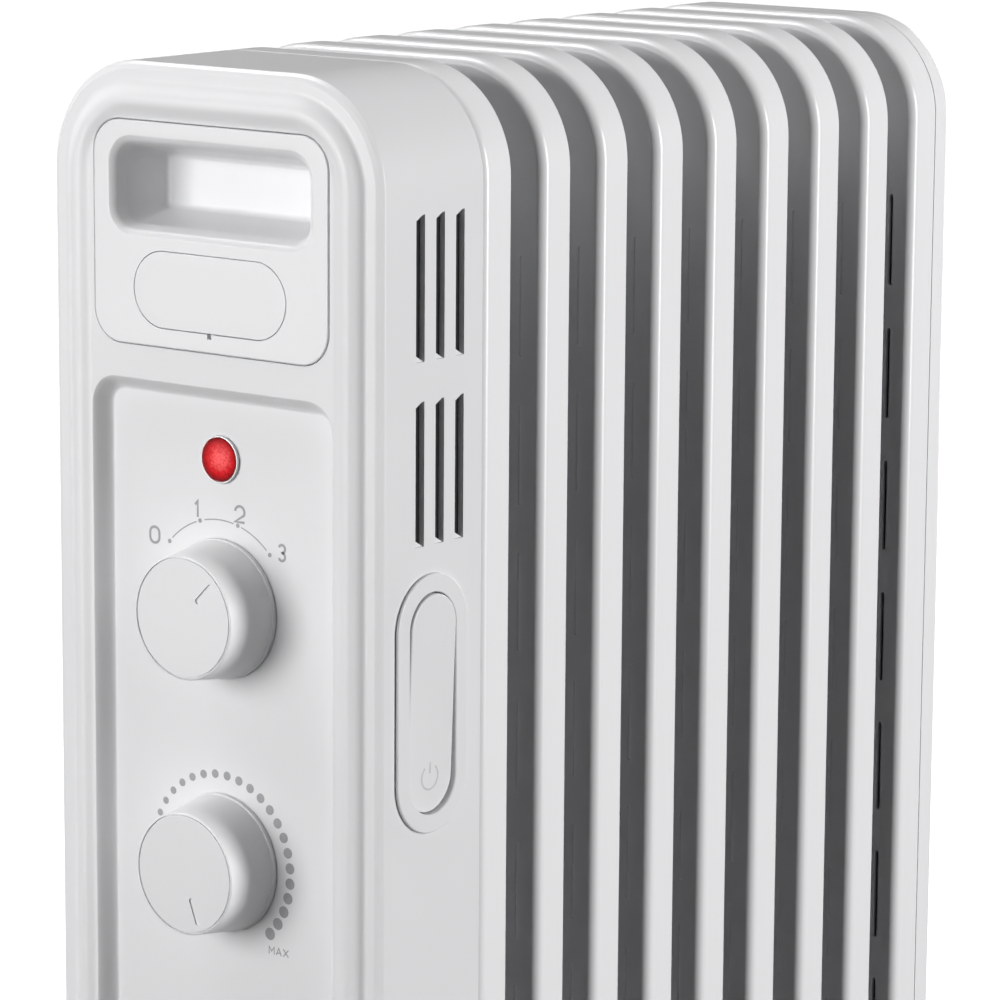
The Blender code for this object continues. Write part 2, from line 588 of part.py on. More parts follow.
def build_end_cover():
    """The pressed cover over the last fin, and the two screws that hold it to the rear plugs."""
    cover = stacked(
        "end_cover", FIN_WIDTH / 2, half(FIN_BOTTOM, TOP), CORNER_RADIUS,
        [(COVER_SHEET, COVER_FRONT), (0, COVER_FRONT), (0, COVER_BACK - 0.0060),
         (0.0012, COVER_BACK - 0.0026), (0.0036, COVER_BACK - 0.0006), (0.0065, COVER_BACK)],
        material("fin_enamel", WHITE_STEEL, 0.35), (0, 0, middle(FIN_BOTTOM, TOP)))
    hollow = stacked(
        "end_cover_hollow", FIN_WIDTH / 2, half(FIN_BOTTOM, TOP), CORNER_RADIUS,
        [(COVER_SHEET, COVER_FRONT - 0.002), (COVER_SHEET, COVER_BACK - 0.0064),
         (0.0060, COVER_BACK - COVER_SHEET)],
        None, (0, 0, middle(FIN_BOTTOM, TOP)))
    cut(cover, hollow)
    steel = material("screw_steel", (0.6, 0.6, 0.6), 0.35, 1.0)
    for name, z in (("top_cover_screw", TOP_HUB_Z), ("bottom_cover_screw", BOTTOM_HUB_Z)):
        cut(cover, turned(f"{name}_hole", [(SCREW_RADIUS + GAP, COVER_BACK - 0.01),
                                           (SCREW_RADIUS + GAP, COVER_BACK + 0.01)], 12, at=(0, 0, z)))
        head = COVER_BACK + GAP
        turned(name, [(0.0020, head + SCREW_HEAD_HEIGHT), (0.0034, head + SCREW_HEAD_HEIGHT - 0.0005),
                      (SCREW_HEAD_RADIUS, head + 0.0004), (SCREW_HEAD_RADIUS, head), (SCREW_RADIUS, head),
                      (SCREW_RADIUS, COVER_FRONT - 0.004)], 16, finish=steel, at=(0, 0, z))


def build_wiring():
    """The parts on the mains side, and the leads between them inside the control box."""
    cream = material("terminal_nylon", (0.80, 0.78, 0.70), 0.5)
    box("terminal_block", (-0.034, 0.0500, 0.180), (-0.004, 0.0645, BLOCK_TOP), cream)
    turned("thermal_cutout", [(CUTOUT_RADIUS, 0.0560), (CUTOUT_RADIUS, 0.0645)], 20,
           finish=material("cutout_steel", (0.5, 0.5, 0.5), 0.4, 1.0), at=(CUTOUT_X, 0, CUTOUT_Z))
    lead = material("lead_insulation", (0.75, 0.75, 0.72), 0.6)
    routes = {
        "supply_lead": [(-0.025, 0.057, BLOCK_TOP + GAP), (-0.025, 0.057, 0.400),
                        (-0.008, 0.045, SELECTOR_Z), (-0.008, SELECTOR_BACK + GAP, SELECTOR_Z)],
        "switch_lead": [(0.009, 0.022, SELECTOR_Z - SWITCH_HALF_HEIGHT - GAP), (0.009, 0.022, 0.380),
                        (0.013, 0.024, 0.350), (0.013, 0.024, THERMOSTAT_Z + SWITCH_HALF_HEIGHT + GAP)],
        "cutout_lead": [(0.010, THERMOSTAT_BACK + GAP, THERMOSTAT_Z), (0.010, 0.045, THERMOSTAT_Z),
                        (CUTOUT_X, 0.060, 0.285), (CUTOUT_X, 0.060, CUTOUT_Z + CUTOUT_RADIUS + GAP)],
        "element_lead": [(CUTOUT_X, 0.060, CUTOUT_Z - CUTOUT_RADIUS - GAP), (CUTOUT_X, 0.058, 0.160),
                         (ELEMENT_LEG, GLAND_Y, 0.125), (ELEMENT_LEG, GLAND_Y, BOTTOM_HUB_Z),
                         (ELEMENT_LEG, ELEMENT_PIN_FRONT - GAP, BOTTOM_HUB_Z)],
    }
    for name, corners in routes.items():
        tube(name, rounded_route(corners, LEAD_BEND, 4), LEAD_RADIUS, 6, lead)
    turned("cord_gland", [(0.0090, -GAP), (0.0090, -0.0030), (0.0042, -0.0030), (0.0042, 0.0080),
                          (0.0060, 0.0080), (0.0060, -GAP)], 20, "Z",
           material("gland_rubber", (0.05, 0.05, 0.05), 0.7), (0, GLAND_Y, FIN_BOTTOM), bored=True)


def build_foot(label, y):
    """A folded steel cross foot, hung from the oil tube by a U bolt and two wing nuts."""
    steel = material("foot_enamel", WHITE_STEEL, 0.4)
    foot = stacked(f"{label}_foot", FOOT_HALF_LENGTH, FOOT_SHEET / 2, 0.0005,
                   [(0, -FOOT_HALF_DEPTH), (0, FOOT_HALF_DEPTH)], steel,
                   (0, y, FOOT_TOP - FOOT_SHEET / 2), steps=1)
    for side in (-1, 1):
        inner = side * (FOOT_HALF_DEPTH - 0.002)
        outer = side * FOOT_HALF_DEPTH
        join(foot, box(f"{label}_foot_flange_{side}",
                       (-FOOT_HALF_LENGTH, min(inner, outer), FOOT_TOP - FOOT_HEIGHT),
                       (FOOT_HALF_LENGTH, max(inner, outer), FOOT_TOP - 0.001), None, (0, y, 0)))
    plate_low = FOOT_TOP - FOOT_SHEET
    for side in (-1, 1):
        for name, x, radius in (("bolt", BOLT_SPREAD, BOLT_RADIUS + GAP), ("stem", CASTER_X, 0.0043)):
            cut(foot, turned(f"{label}_{name}_hole_{side}",
                             [(radius, plate_low - 0.002), (radius, FOOT_TOP + 0.002)], 12, "Z",
                             at=(side * x, y, 0)))
    zinc = material("bolt_zinc", (0.65, 0.65, 0.66), 0.3, 1.0)
    arch = [(BOLT_SPREAD, 0, BOLT_END_Z)]
    for step in range(13):
        angle = math.pi * step / 12
        arch.append((BOLT_SPREAD * math.cos(angle), 0, BOTTOM_HUB_Z + BOLT_SPREAD * math.sin(angle)))
    arch.append((-BOLT_SPREAD, 0, BOLT_END_Z))
    tube(f"{label}_u_bolt", arch, BOLT_RADIUS, 10, zinc, (0, y, 0))
    for side, where in ((-1, "left"), (1, "right")):
        build_wing_nut(f"{label}_{where}_wing_nut", (side * BOLT_SPREAD, y, plate_low - GAP), zinc)


def build_wing_nut(name, at, finish):
    """A wing nut that hangs below its seat: a short boss with two thin wings, bored through."""
    nut = turned(name, [(0.0058, 0), (0.0052, -0.0060)], 16, "Z", finish, at)
    wings = box(f"{name}_wings", (-0.0135, -0.0011, -0.0095), (0.0135, 0.0011, -0.0015), None, at)
    join(nut, wings)
    cut(nut, turned(f"{name}_bore", [(BOLT_RADIUS + GAP, -0.012), (BOLT_RADIUS + GAP, 0.002)], 12, "Z",
                    at=at))


def caster_pattern(finish):
    """One caster fork about its swivel axis at z = 0: stem, crown and two arms, with the axle's hole."""
    plate_low = FOOT_TOP - FOOT_SHEET
    fork = turned("caster_pattern",
                  [(0.0040, plate_low + 0.006), (0.0040, plate_low - GAP), (CROWN_RADIUS, plate_low - GAP),
                   (CROWN_RADIUS, CROWN_BOTTOM)], 16, "Z")
    for side in (-1, 1):
        arm = loft(f"caster_arm_{side}", [
            [(x, y, z) for y, z in ((-0.0100, CROWN_BOTTOM + 0.004), (-0.0040, 0.030),
                                    (CASTER_TRAIL - 0.0060, WHEEL_RADIUS - 0.0040),
                                    (CASTER_TRAIL, WHEEL_RADIUS - 0.0070),
                                    (CASTER_TRAIL + 0.0060, WHEEL_RADIUS - 0.0040),
                                    (CASTER_TRAIL + 0.0060, WHEEL_RADIUS + 0.0060),
                                    (0.0110, CROWN_BOTTOM + 0.004))]
            for x in (side * ARM_INNER, side * ARM_OUTER)])
        join(fork, arm)
    cut(fork, turned("axle_hole", [(AXLE_RADIUS + GAP, -0.02), (AXLE_RADIUS + GAP, 0.02)], 12, "X",
                     at=(0, CASTER_TRAIL, WHEEL_RADIUS)))
    mesh = settled_mesh(fork, "caster_fork")
    mesh.materials.append(finish)
    retire(fork)
    return mesh


def build_casters():
    """Four swivel casters, all trailing towards the rear, as when the heater is pulled by its grip."""
    fork_mesh = caster_pattern(material("caster_nylon", (0.06, 0.06, 0.06), 0.45))
    tyre = material("wheel_nylon", (0.04, 0.04, 0.04), 0.5)
    steel = material("axle_steel", (0.6, 0.6, 0.6), 0.3, 1.0)
    for end, y in (("front", FRONT_FOOT_Y), ("rear", REAR_FOOT_Y)):
        for side, where in ((-1, "left"), (1, "right")):
            label = f"{end}_{where}"
            x = side * CASTER_X
            shared_object(f"{label}_fork", fork_mesh, None, (x, y, 0))
            hub = (x, y + CASTER_TRAIL, WHEEL_RADIUS)
            bore = AXLE_RADIUS + GAP
            turned(f"{label}_wheel",
                   [(bore, -WHEEL_HALF_WIDTH), (0.0180, -WHEEL_HALF_WIDTH), (WHEEL_RADIUS, -0.0060),
                    (WHEEL_RADIUS, 0.0060), (0.0180, WHEEL_HALF_WIDTH), (bore, WHEEL_HALF_WIDTH)],
                   24, "X", tyre, hub, bored=True)
            turned(f"{label}_axle", [(AXLE_RADIUS, -ARM_OUTER), (AXLE_RADIUS, ARM_OUTER)], 12, "X", steel,
                   hub)


def main():
    for leftover in list(bpy.data.objects):
        bpy.data.objects.remove(leftover, do_unlink=True)
    frame = bpy.data.objects.new("heater_frame", None)
    bpy.context.scene.collection.objects.link(frame)
    frame.location.y = FRAME_Y
    build_fins()
    build_housing()
    build_handle_panel()
    build_lamp()
    build_controls()
    build_rocker()
    build_heat_shield()
    build_heating_element()
    build_oil_plugs()
    build_end_cover()
    build_wiring()
    build_foot("front", FRONT_FOOT_Y)
    build_foot("rear", REAR_FOOT_Y)
    build_casters()


main()
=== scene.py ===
"""The looks of the oil filled radiator heater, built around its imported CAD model.

Metres, +Z up, control panel towards -Y. The pieces are laid out from the face of the handle panel,
which lies at world y = FACE, and every place is read from the box of the CAD node that it stands for.
"""

import json
import math

import bmesh
import bpy
from mathutils import Matrix, Vector


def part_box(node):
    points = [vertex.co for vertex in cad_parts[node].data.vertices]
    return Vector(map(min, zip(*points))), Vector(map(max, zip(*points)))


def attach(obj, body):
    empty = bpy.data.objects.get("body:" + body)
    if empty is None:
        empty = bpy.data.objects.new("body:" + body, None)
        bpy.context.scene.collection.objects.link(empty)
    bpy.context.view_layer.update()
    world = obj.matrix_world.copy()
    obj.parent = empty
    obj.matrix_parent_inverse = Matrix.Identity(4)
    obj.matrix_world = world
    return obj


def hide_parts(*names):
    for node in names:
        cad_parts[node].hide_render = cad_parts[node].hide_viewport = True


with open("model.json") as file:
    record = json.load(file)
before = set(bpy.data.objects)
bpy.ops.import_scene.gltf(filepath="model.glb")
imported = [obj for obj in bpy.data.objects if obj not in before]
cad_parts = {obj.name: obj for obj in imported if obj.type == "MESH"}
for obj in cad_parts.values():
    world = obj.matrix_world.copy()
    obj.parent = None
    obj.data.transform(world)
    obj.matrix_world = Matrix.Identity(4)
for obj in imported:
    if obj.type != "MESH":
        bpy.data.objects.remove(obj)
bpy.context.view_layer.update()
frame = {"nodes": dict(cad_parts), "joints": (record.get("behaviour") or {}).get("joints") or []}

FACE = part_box("handle_panel")[0].y
GAP = 0.0003
WALL = 0.0025
CORNER_RADIUS = 0.045
FOLD_RADIUS = 0.0042
SHEET = 0.0012
SMOOTH_STEPS = 16


# ---------------------------------------------------------------------------------------------
# Shapes
# ---------------------------------------------------------------------------------------------

def place_of(node):
    """(low, high, middle) of a CAD node's box, with y measured from the face of the handle panel."""
    low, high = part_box(node)
    shift = Vector((0, FACE, 0))
    return low - shift, high - shift, (low + high) / 2 - shift


def filleted(corners, steps=5):
    """Points along (a, b, radius) corners, each corner turned as an arc of its radius."""
    points = []
    for index, (first, second, radius) in enumerate(corners):
        here = Vector((first, second))
        if radius == 0:
            points.append((first, second))
            continue
        into = (here - Vector(corners[index - 1][:2])).normalized()
        out = (Vector(corners[index + 1][:2]) - here).normalized()
        turn = into.angle(out)
        side = (out - into * into.dot(out)).normalized()
        start = here - into * radius * math.tan(turn / 2)
        for step in range(steps + 1):
            swept = turn * step / steps
            point = start + side * radius * (1 - math.cos(swept)) + into * radius * math.sin(swept)
            points.append((point.x, point.y))
    return points


def eased(start, end, steps, first=0.0):
    """Points of an S-curve between two (inset, y) points, level at both ends unless it starts late."""
    points = []
    for step in range(steps + 1):
        share = first + (1 - first) * step / steps
        rise = (1 - math.cos(math.pi * share)) / 2
        points.append((start[0] + (end[0] - start[0]) * share, start[1] + (end[1] - start[1]) * rise))
    return points


def outline(half_x, half_z, radius, steps=SMOOTH_STEPS):
    """A round-cornered rectangle about (0, 0), as (x, z) pairs, anticlockwise seen from the front."""
    radius = max(radius, 0.0004)
    points = []
    for side_x, side_z, start in ((1, -1, -90), (1, 1, 0), (-1, 1, 90), (-1, -1, 180)):
        for step in range(steps + 1):
            angle = math.radians(start + 90 * step / steps)
            points.append((side_x * (half_x - radius) + radius * math.cos(angle),
                           side_z * (half_z - radius) + radius * math.sin(angle)))
    return points


def mesh_object(name, vertices, faces, at=(0, 0, 0)):
    """A mesh object whose place is counted from the face of the handle panel."""
    work = bmesh.new()
    placed = [work.verts.new(vertex) for vertex in vertices]
    for face in faces:
        work.faces.new([placed[index] for index in face])
    bmesh.ops.remove_doubles(work, verts=work.verts, dist=1e-7)
    bmesh.ops.recalc_face_normals(work, faces=work.faces)
    mesh = bpy.data.meshes.new(name)
    work.to_mesh(mesh)
    work.free()
    made = bpy.data.objects.new(name, mesh)
    bpy.context.scene.collection.objects.link(made)
    made.location = Vector(at) + Vector((0, FACE, 0))
    return made


def loft(name, rings, at=(0, 0, 0), closed=False):
    """Rings of equally many points joined by quads. The end rings are capped, or joined when closed."""
    count = len(rings[0])
    vertices = [point for ring in rings for point in ring]
    spans = len(rings) if closed else len(rings) - 1
    faces = []
    for span in range(spans):
        low = span * count
        high = (span + 1) % len(rings) * count
        for index in range(count):
            after = (index + 1) % count
            faces.append((low + index, low + after, high + after, high + index))
    if not closed:
        faces.append(tuple(range(count)))
        faces.append(tuple(range(len(vertices) - count, len(vertices))))
    return mesh_object(name, vertices, faces, at)


def stacked(name, half_x, half_z, radius, profile, at=(0, 0, 0), steps=SMOOTH_STEPS):
    """A loft along Y of one rounded rectangle, drawn in by each inset of (inset, y) in the profile."""
    rings = []
    for inset, y in profile:
        flat = outline(half_x - inset, half_z - inset, radius - inset, steps)
        rings.append([(x, y, z) for x, z in flat])
    return loft(name, rings, at)


def sideways(name, half_y, half_z, radius, profile, at=(0, 0, 0), steps=SMOOTH_STEPS):
    """The same loft along X, for pieces set into the right-hand wall."""
    rings = []
    for inset, x in profile:
        flat = outline(half_y - inset, half_z - inset, radius - inset, steps)
        rings.append([(x, y, z) for y, z in flat])
    return loft(name, rings, at)


def block(name, low, high, at=(0, 0, 0)):
    """A block between two opposite corners."""
    ring_low = [(low[0], low[1], low[2]), (high[0], low[1], low[2]),
                (high[0], high[1], low[2]), (low[0], high[1], low[2])]
    return loft(name, [ring_low, [(x, y, high[2]) for x, y, _ in ring_low]], at)


def prism(name, flat, low, high, at=(0, 0, 0)):
    """A (y, z) polygon drawn out along X."""
    return loft(name, [[(x, y, z) for y, z in flat] for x in (low, high)], at)


def turned(name, profile, steps=64, axis="Y", at=(0, 0, 0), bored=False):
    """A profile of (radius, distance along the axis) spun about that axis; bored closes it on itself."""
    rings = []
    for radius, along in profile:
        ring = []
        for step in range(steps):
            angle = math.tau * step / steps
            first = radius * math.cos(angle)
            second = radius * math.sin(angle)
            ring.append({"X": (along, first, second), "Y": (first, along, second),
                         "Z": (first, second, along)}[axis])
        rings.append(ring)
    return loft(name, rings, at, closed=bored)


def combine(target, tool, operation):
    modifier = target.modifiers.new(tool.name, "BOOLEAN")
    modifier.operation = operation
    modifier.solver = "EXACT"
    modifier.object = tool


def cut(target, *tools):
    for tool in tools:
        combine(target, tool, "DIFFERENCE")


def join(target, *tools):
    for tool in tools:
        combine(target, tool, "UNION")


def settled(target):
    """Applies an object's modifiers to its mesh and removes the tools that they used."""
    bpy.context.view_layer.update()
    graph = bpy.context.evaluated_depsgraph_get()
    mesh = bpy.data.meshes.new_from_object(target.evaluated_get(graph))
    tools = [modifier.object for modifier in target.modifiers]
    target.modifiers.clear()
    target.data = mesh
    for tool in tools:
        bpy.data.objects.remove(tool)
    return target


def softened(target, angle=34):
    """Smooth shading that follows the large faces and stays crisp at real corners."""
    target.data.shade_smooth()
    target.data.set_sharp_from_angle(angle=math.radians(angle))
    weighted = target.modifiers.new("weighted", "WEIGHTED_NORMAL")
    weighted.keep_sharp = True
    return target


def finished(target, body, finish, slot, *nodes):
    """Gives a piece its material and its body, and hides the CAD nodes that it stands for; the slot is not
    used.
    """
    if not target.data.materials:
        target.data.materials.append(finish)
    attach(target, body)
    if nodes:
        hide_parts(*nodes)
    return target


# ---------------------------------------------------------------------------------------------
# Materials
# ---------------------------------------------------------------------------------------------

def link(tree, source, output, target, socket):
    tree.links.new(source.outputs[output], target.inputs[socket])


def noise(tree, coordinates, scale, detail=3.0):
    made = tree.nodes.new("ShaderNodeTexNoise")
    made.inputs["Scale"].default_value = scale
    made.inputs["Detail"].default_value = detail
    link(tree, coordinates, "Object", made, "Vector")
    return made


def spread(tree, source, low, high, output="Fac"):
    """Maps a texture's middle range on to low..high."""
    made = tree.nodes.new("ShaderNodeMapRange")
    made.inputs["From Min"].default_value = 0.3
    made.inputs["From Max"].default_value = 0.7
    made.inputs["To Min"].default_value = low
    made.inputs["To Max"].default_value = high
    link(tree, source, output, made, "Value")
    return made


def surface(name, colour, roughness, metallic=0.0, shade=0.02, shade_scale=9.0, grain=900.0, depth=0.00002,
            coat=0.0, cells=None):
    """A Principled material with cloudy colour and roughness, and a fine grain in its relief."""
    made = bpy.data.materials.new(name)
    made.use_nodes = True
    tree = made.node_tree
    shader = tree.nodes["Principled BSDF"]
    shader.inputs["Metallic"].default_value = metallic
    shader.inputs["Coat Weight"].default_value = coat
    shader.inputs["Coat Roughness"].default_value = 0.12
    coordinates = tree.nodes.new("ShaderNodeTexCoord")
    clouds = noise(tree, coordinates, shade_scale)
    mix = tree.nodes.new("ShaderNodeMix")
    mix.data_type = "RGBA"
    mix.inputs[6].default_value = (*[channel * (1 - shade) for channel in colour], 1)
    mix.inputs[7].default_value = (*[min(channel * (1 + shade), 1) for channel in colour], 1)
    link(tree, spread(tree, clouds, 0, 1), "Result", mix, 0)
    tree.links.new(mix.outputs[2], shader.inputs["Base Color"])
    wear = noise(tree, coordinates, shade_scale * 7)
    link(tree, spread(tree, wear, roughness * 0.97, roughness * 1.03), "Result", shader, "Roughness")
    bump = tree.nodes.new("ShaderNodeBump")
    bump.inputs["Distance"].default_value = depth
    bump.inputs["Strength"].default_value = 0.6
    if cells:
        relief = tree.nodes.new("ShaderNodeTexVoronoi")
        relief.inputs["Scale"].default_value = cells
        link(tree, coordinates, "Object", relief, "Vector")
        link(tree, relief, "Distance", bump, "Height")
    else:
        link(tree, noise(tree, coordinates, grain, 2.0), "Fac", bump, "Height")
    link(tree, bump, "Normal", shader, "Normal")
    return made


def glowing_lens():
    """Pebbled red plastic, with the lamp's glow showing as a soft patch just right of its middle."""
    glow_half_x = 0.0090
    glow_half_z = 0.0086
    made = surface("lens_red_plastic", (0.22, 0.002, 0.004), 0.5, shade=0.25, shade_scale=420, cells=1100,
                   depth=0.00012)
    tree = made.node_tree
    shader = tree.nodes["Principled BSDF"]
    coordinates = tree.nodes.new("ShaderNodeTexCoord")
    moved = tree.nodes.new("ShaderNodeMapping")
    moved.inputs["Location"].default_value = (-0.16, 0, -0.05)
    moved.inputs["Scale"].default_value = (1 / glow_half_x, 0, 1 / glow_half_z)
    link(tree, coordinates, "Object", moved, "Vector")
    ball = tree.nodes.new("ShaderNodeTexGradient")
    ball.gradient_type = "SPHERICAL"
    link(tree, moved, "Vector", ball, "Vector")
    sparkle = noise(tree, coordinates, 1100, 2.0)
    glow = tree.nodes.new("ShaderNodeMath")
    glow.operation = "MULTIPLY"
    link(tree, ball, "Fac", glow, 0)
    link(tree, spread(tree, sparkle, 0.6, 1.4), "Result", glow, 1)
    ramp = tree.nodes.new("ShaderNodeValToRGB")
    ramp.color_ramp.elements[0].position = 0.0
    ramp.color_ramp.elements[0].color = (0.05, 0.0, 0.001, 1)
    ramp.color_ramp.elements[1].position = 0.92
    ramp.color_ramp.elements[1].color = (0.98, 0.12, 0.12, 1)
    between = ramp.color_ramp.elements.new(0.34)
    between.color = (0.55, 0.004, 0.008, 1)
    link(tree, glow, "Value", ramp, "Fac")
    link(tree, ramp, "Color", shader, "Emission Color")
    shader.inputs["Emission Strength"].default_value = 0.85
    shader.inputs["Specular IOR Level"].default_value = 0.25
    return made


HOUSING_PLASTIC = surface("moulded_shell_plastic", (0.80, 0.80, 0.81), 0.36, grain=1500, depth=0.00002)
PANEL_PLASTIC = surface("panel_plastic_satin", (0.82, 0.82, 0.83), 0.30, grain=1700, depth=0.000015)
KNOB_PLASTIC = surface("knob_plastic_satin", (0.80, 0.80, 0.81), 0.30, grain=2000, depth=0.000015)
ROCKER_PLASTIC = surface("rocker_plastic_satin", (0.80, 0.80, 0.81), 0.32, grain=1700, depth=0.000015)
PRINT_GREY = surface("dial_print_grey", (0.36, 0.36, 0.37), 0.5, shade=0.06, shade_scale=300, grain=2600)
FAINT_PRINT = surface("pad_print_faint", (0.60, 0.60, 0.61), 0.45, shade=0.05, shade_scale=300, grain=2600)
RING_CHROME = surface("lamp_ring_satin_chrome", (0.80, 0.80, 0.80), 0.32, 0.25, grain=2400)
LENS_RED = glowing_lens()
FIN_ENAMEL = surface("fin_baked_enamel", (0.89, 0.89, 0.90), 0.30, shade=0.008, grain=330, depth=0.000003,
                     coat=0.1)
FOOT_ENAMEL = surface("foot_baked_enamel", (0.79, 0.79, 0.80), 0.30, shade=0.02, grain=330, depth=0.00003,
                      coat=0.2)
# painted shade: near-black finish for the sheets behind the vent slots, standing in for the shade inside the
# control box
SHADE_SHEET_BLACK = surface("vent_shade_sheet_black", (0.006, 0.006, 0.007), 0.8, shade=0.2, grain=700)
SWITCH_BLACK = surface("switch_phenolic_black", (0.02, 0.02, 0.021), 0.42, shade=0.2, grain=900,
                       depth=0.00004)
CERAMIC = surface("thermostat_steatite", (0.80, 0.76, 0.67), 0.6, shade=0.06, shade_scale=60, grain=600,
                  depth=0.00006)
ZINC_PLATE = surface("galvanised_plate", (0.58, 0.60, 0.62), 0.38, 1.0, shade=0.22, shade_scale=120,
                     cells=160, depth=0.00004)
TERMINAL = surface("terminal_nylon_cream", (0.76, 0.74, 0.64), 0.5, shade=0.05, shade_scale=80, grain=1200)
BRIGHT_STEEL = surface("turned_bright_steel", (0.62, 0.62, 0.63), 0.26, 1.0, shade=0.08, shade_scale=150,
                       grain=1800, depth=0.00003)
PLAIN_STEEL = surface("machined_plain_steel", (0.50, 0.48, 0.45), 0.36, 1.0, shade=0.16, shade_scale=90,
                      grain=1000, depth=0.00005)
LEAD = surface("lead_glass_sleeve", (0.68, 0.68, 0.64), 0.62, shade=0.10, shade_scale=260, cells=1100,
               depth=0.0001)
SEAL = surface("seal_red_fibre", (0.30, 0.09, 0.06), 0.85, shade=0.25, shade_scale=500, cells=800,
               depth=0.0001)
NEON = surface("neon_glass_amber", (0.92, 0.42, 0.22), 0.12, shade=0.2, shade_scale=200, grain=800)
GLAND = surface("gland_rubber_black", (0.02, 0.02, 0.02), 0.72, shade=0.2, shade_scale=200, grain=900,
                depth=0.00006)
FASTENER = surface("fastener_zinc_plate", (0.63, 0.64, 0.66), 0.30, 1.0, shade=0.12, shade_scale=200,
                   grain=1400, depth=0.00004)
CASTER = surface("caster_nylon_black", (0.022, 0.022, 0.023), 0.40, shade=0.2, shade_scale=60, grain=900,
                 depth=0.00004)
WHEEL = surface("wheel_nylon_black", (0.018, 0.018, 0.018), 0.48, shade=0.25, shade_scale=120, grain=700,
                depth=0.00006)


# ---------------------------------------------------------------------------------------------
# The control box
# ---------------------------------------------------------------------------------------------

SHELL_LOW, SHELL_HIGH, SHELL_MIDDLE = place_of("control_housing")
SHELL_HALF_X = SHELL_HIGH.x
SHELL_HALF_Z = (SHELL_HIGH.z - SHELL_LOW.z) / 2
CREST_Y = SHELL_LOW.y
SHELL_BACK = SHELL_HIGH.y
PLATE_Y = 0.0004
CREST_INSET = 0.0152
STEP_INSET = 0.0068
BAND_Y = 0.0026
RECESS_FLOOR = place_of("selector_knob")[1].y + GAP
RECESS_HALF_X = 0.0652
RECESS_TOP = 0.5116
RECESS_BOTTOM = 0.1110
RECESS_RADIUS = 0.0138
RECESS_SLOPE = 0.0074
PANEL_LOW, PANEL_HIGH, PANEL_MIDDLE = place_of("handle_panel")
PANEL_HALF_X = PANEL_HIGH.x
PANEL_HALF_Z = (PANEL_HIGH.z - PANEL_LOW.z) / 2
PANEL_RADIUS = 0.014
LAMP = place_of("lamp_bezel")[2]
SELECTOR = place_of("selector_knob")[2]
THERMOSTAT = place_of("thermostat_knob")[2]
PAD = place_of("rocker_frame")[2]
SHAFT_HOLE_RADIUS = 0.0045
LAMP_HOLE_RADIUS = 0.0090
GLAND_HOLE_RADIUS = 0.0063
ROCKER_HOLE_HALF_Y = 0.0166
ROCKER_HOLE_HALF_Z = 0.0476
WALL_CUT_X = (0.080, 0.090)
VENT_WIDTH = 0.0055
VENT_HEIGHT = 0.0588
VENT_FIRST_Y = 0.02705
VENT_PITCH = 0.0127
VENT_BANKS = (0.5560, 0.4813)
VENT_LIP = 0.0009
VENT_GUSSET = 0.0030


def vent_tools(bank, column, side):
    """A slot's shallow seat, and the four-sided hole in it that leaves a gusset at both front corners."""
    front = VENT_FIRST_Y + column * VENT_PITCH - VENT_WIDTH / 2
    back = front + VENT_WIDTH
    low = bank - VENT_HEIGHT / 2
    high = bank + VENT_HEIGHT / 2
    wall = side * SHELL_HALF_X
    seat_x = sorted((wall - side * VENT_LIP, wall + side * 0.002))
    hole_x = sorted((wall - side * 0.006, wall))
    label = f"vent_{bank}_{column}_{side}"
    seat = block(f"{label}_seat", (seat_x[0], front, low), (seat_x[1], back, high))
    inset = 0.0002
    flat = [(front + inset, low + VENT_GUSSET), (back - inset, low + inset), (back - inset, high - inset),
            (front + inset, high - VENT_GUSSET)]
    return [seat, prism(f"{label}_hole", flat, *hole_x)]


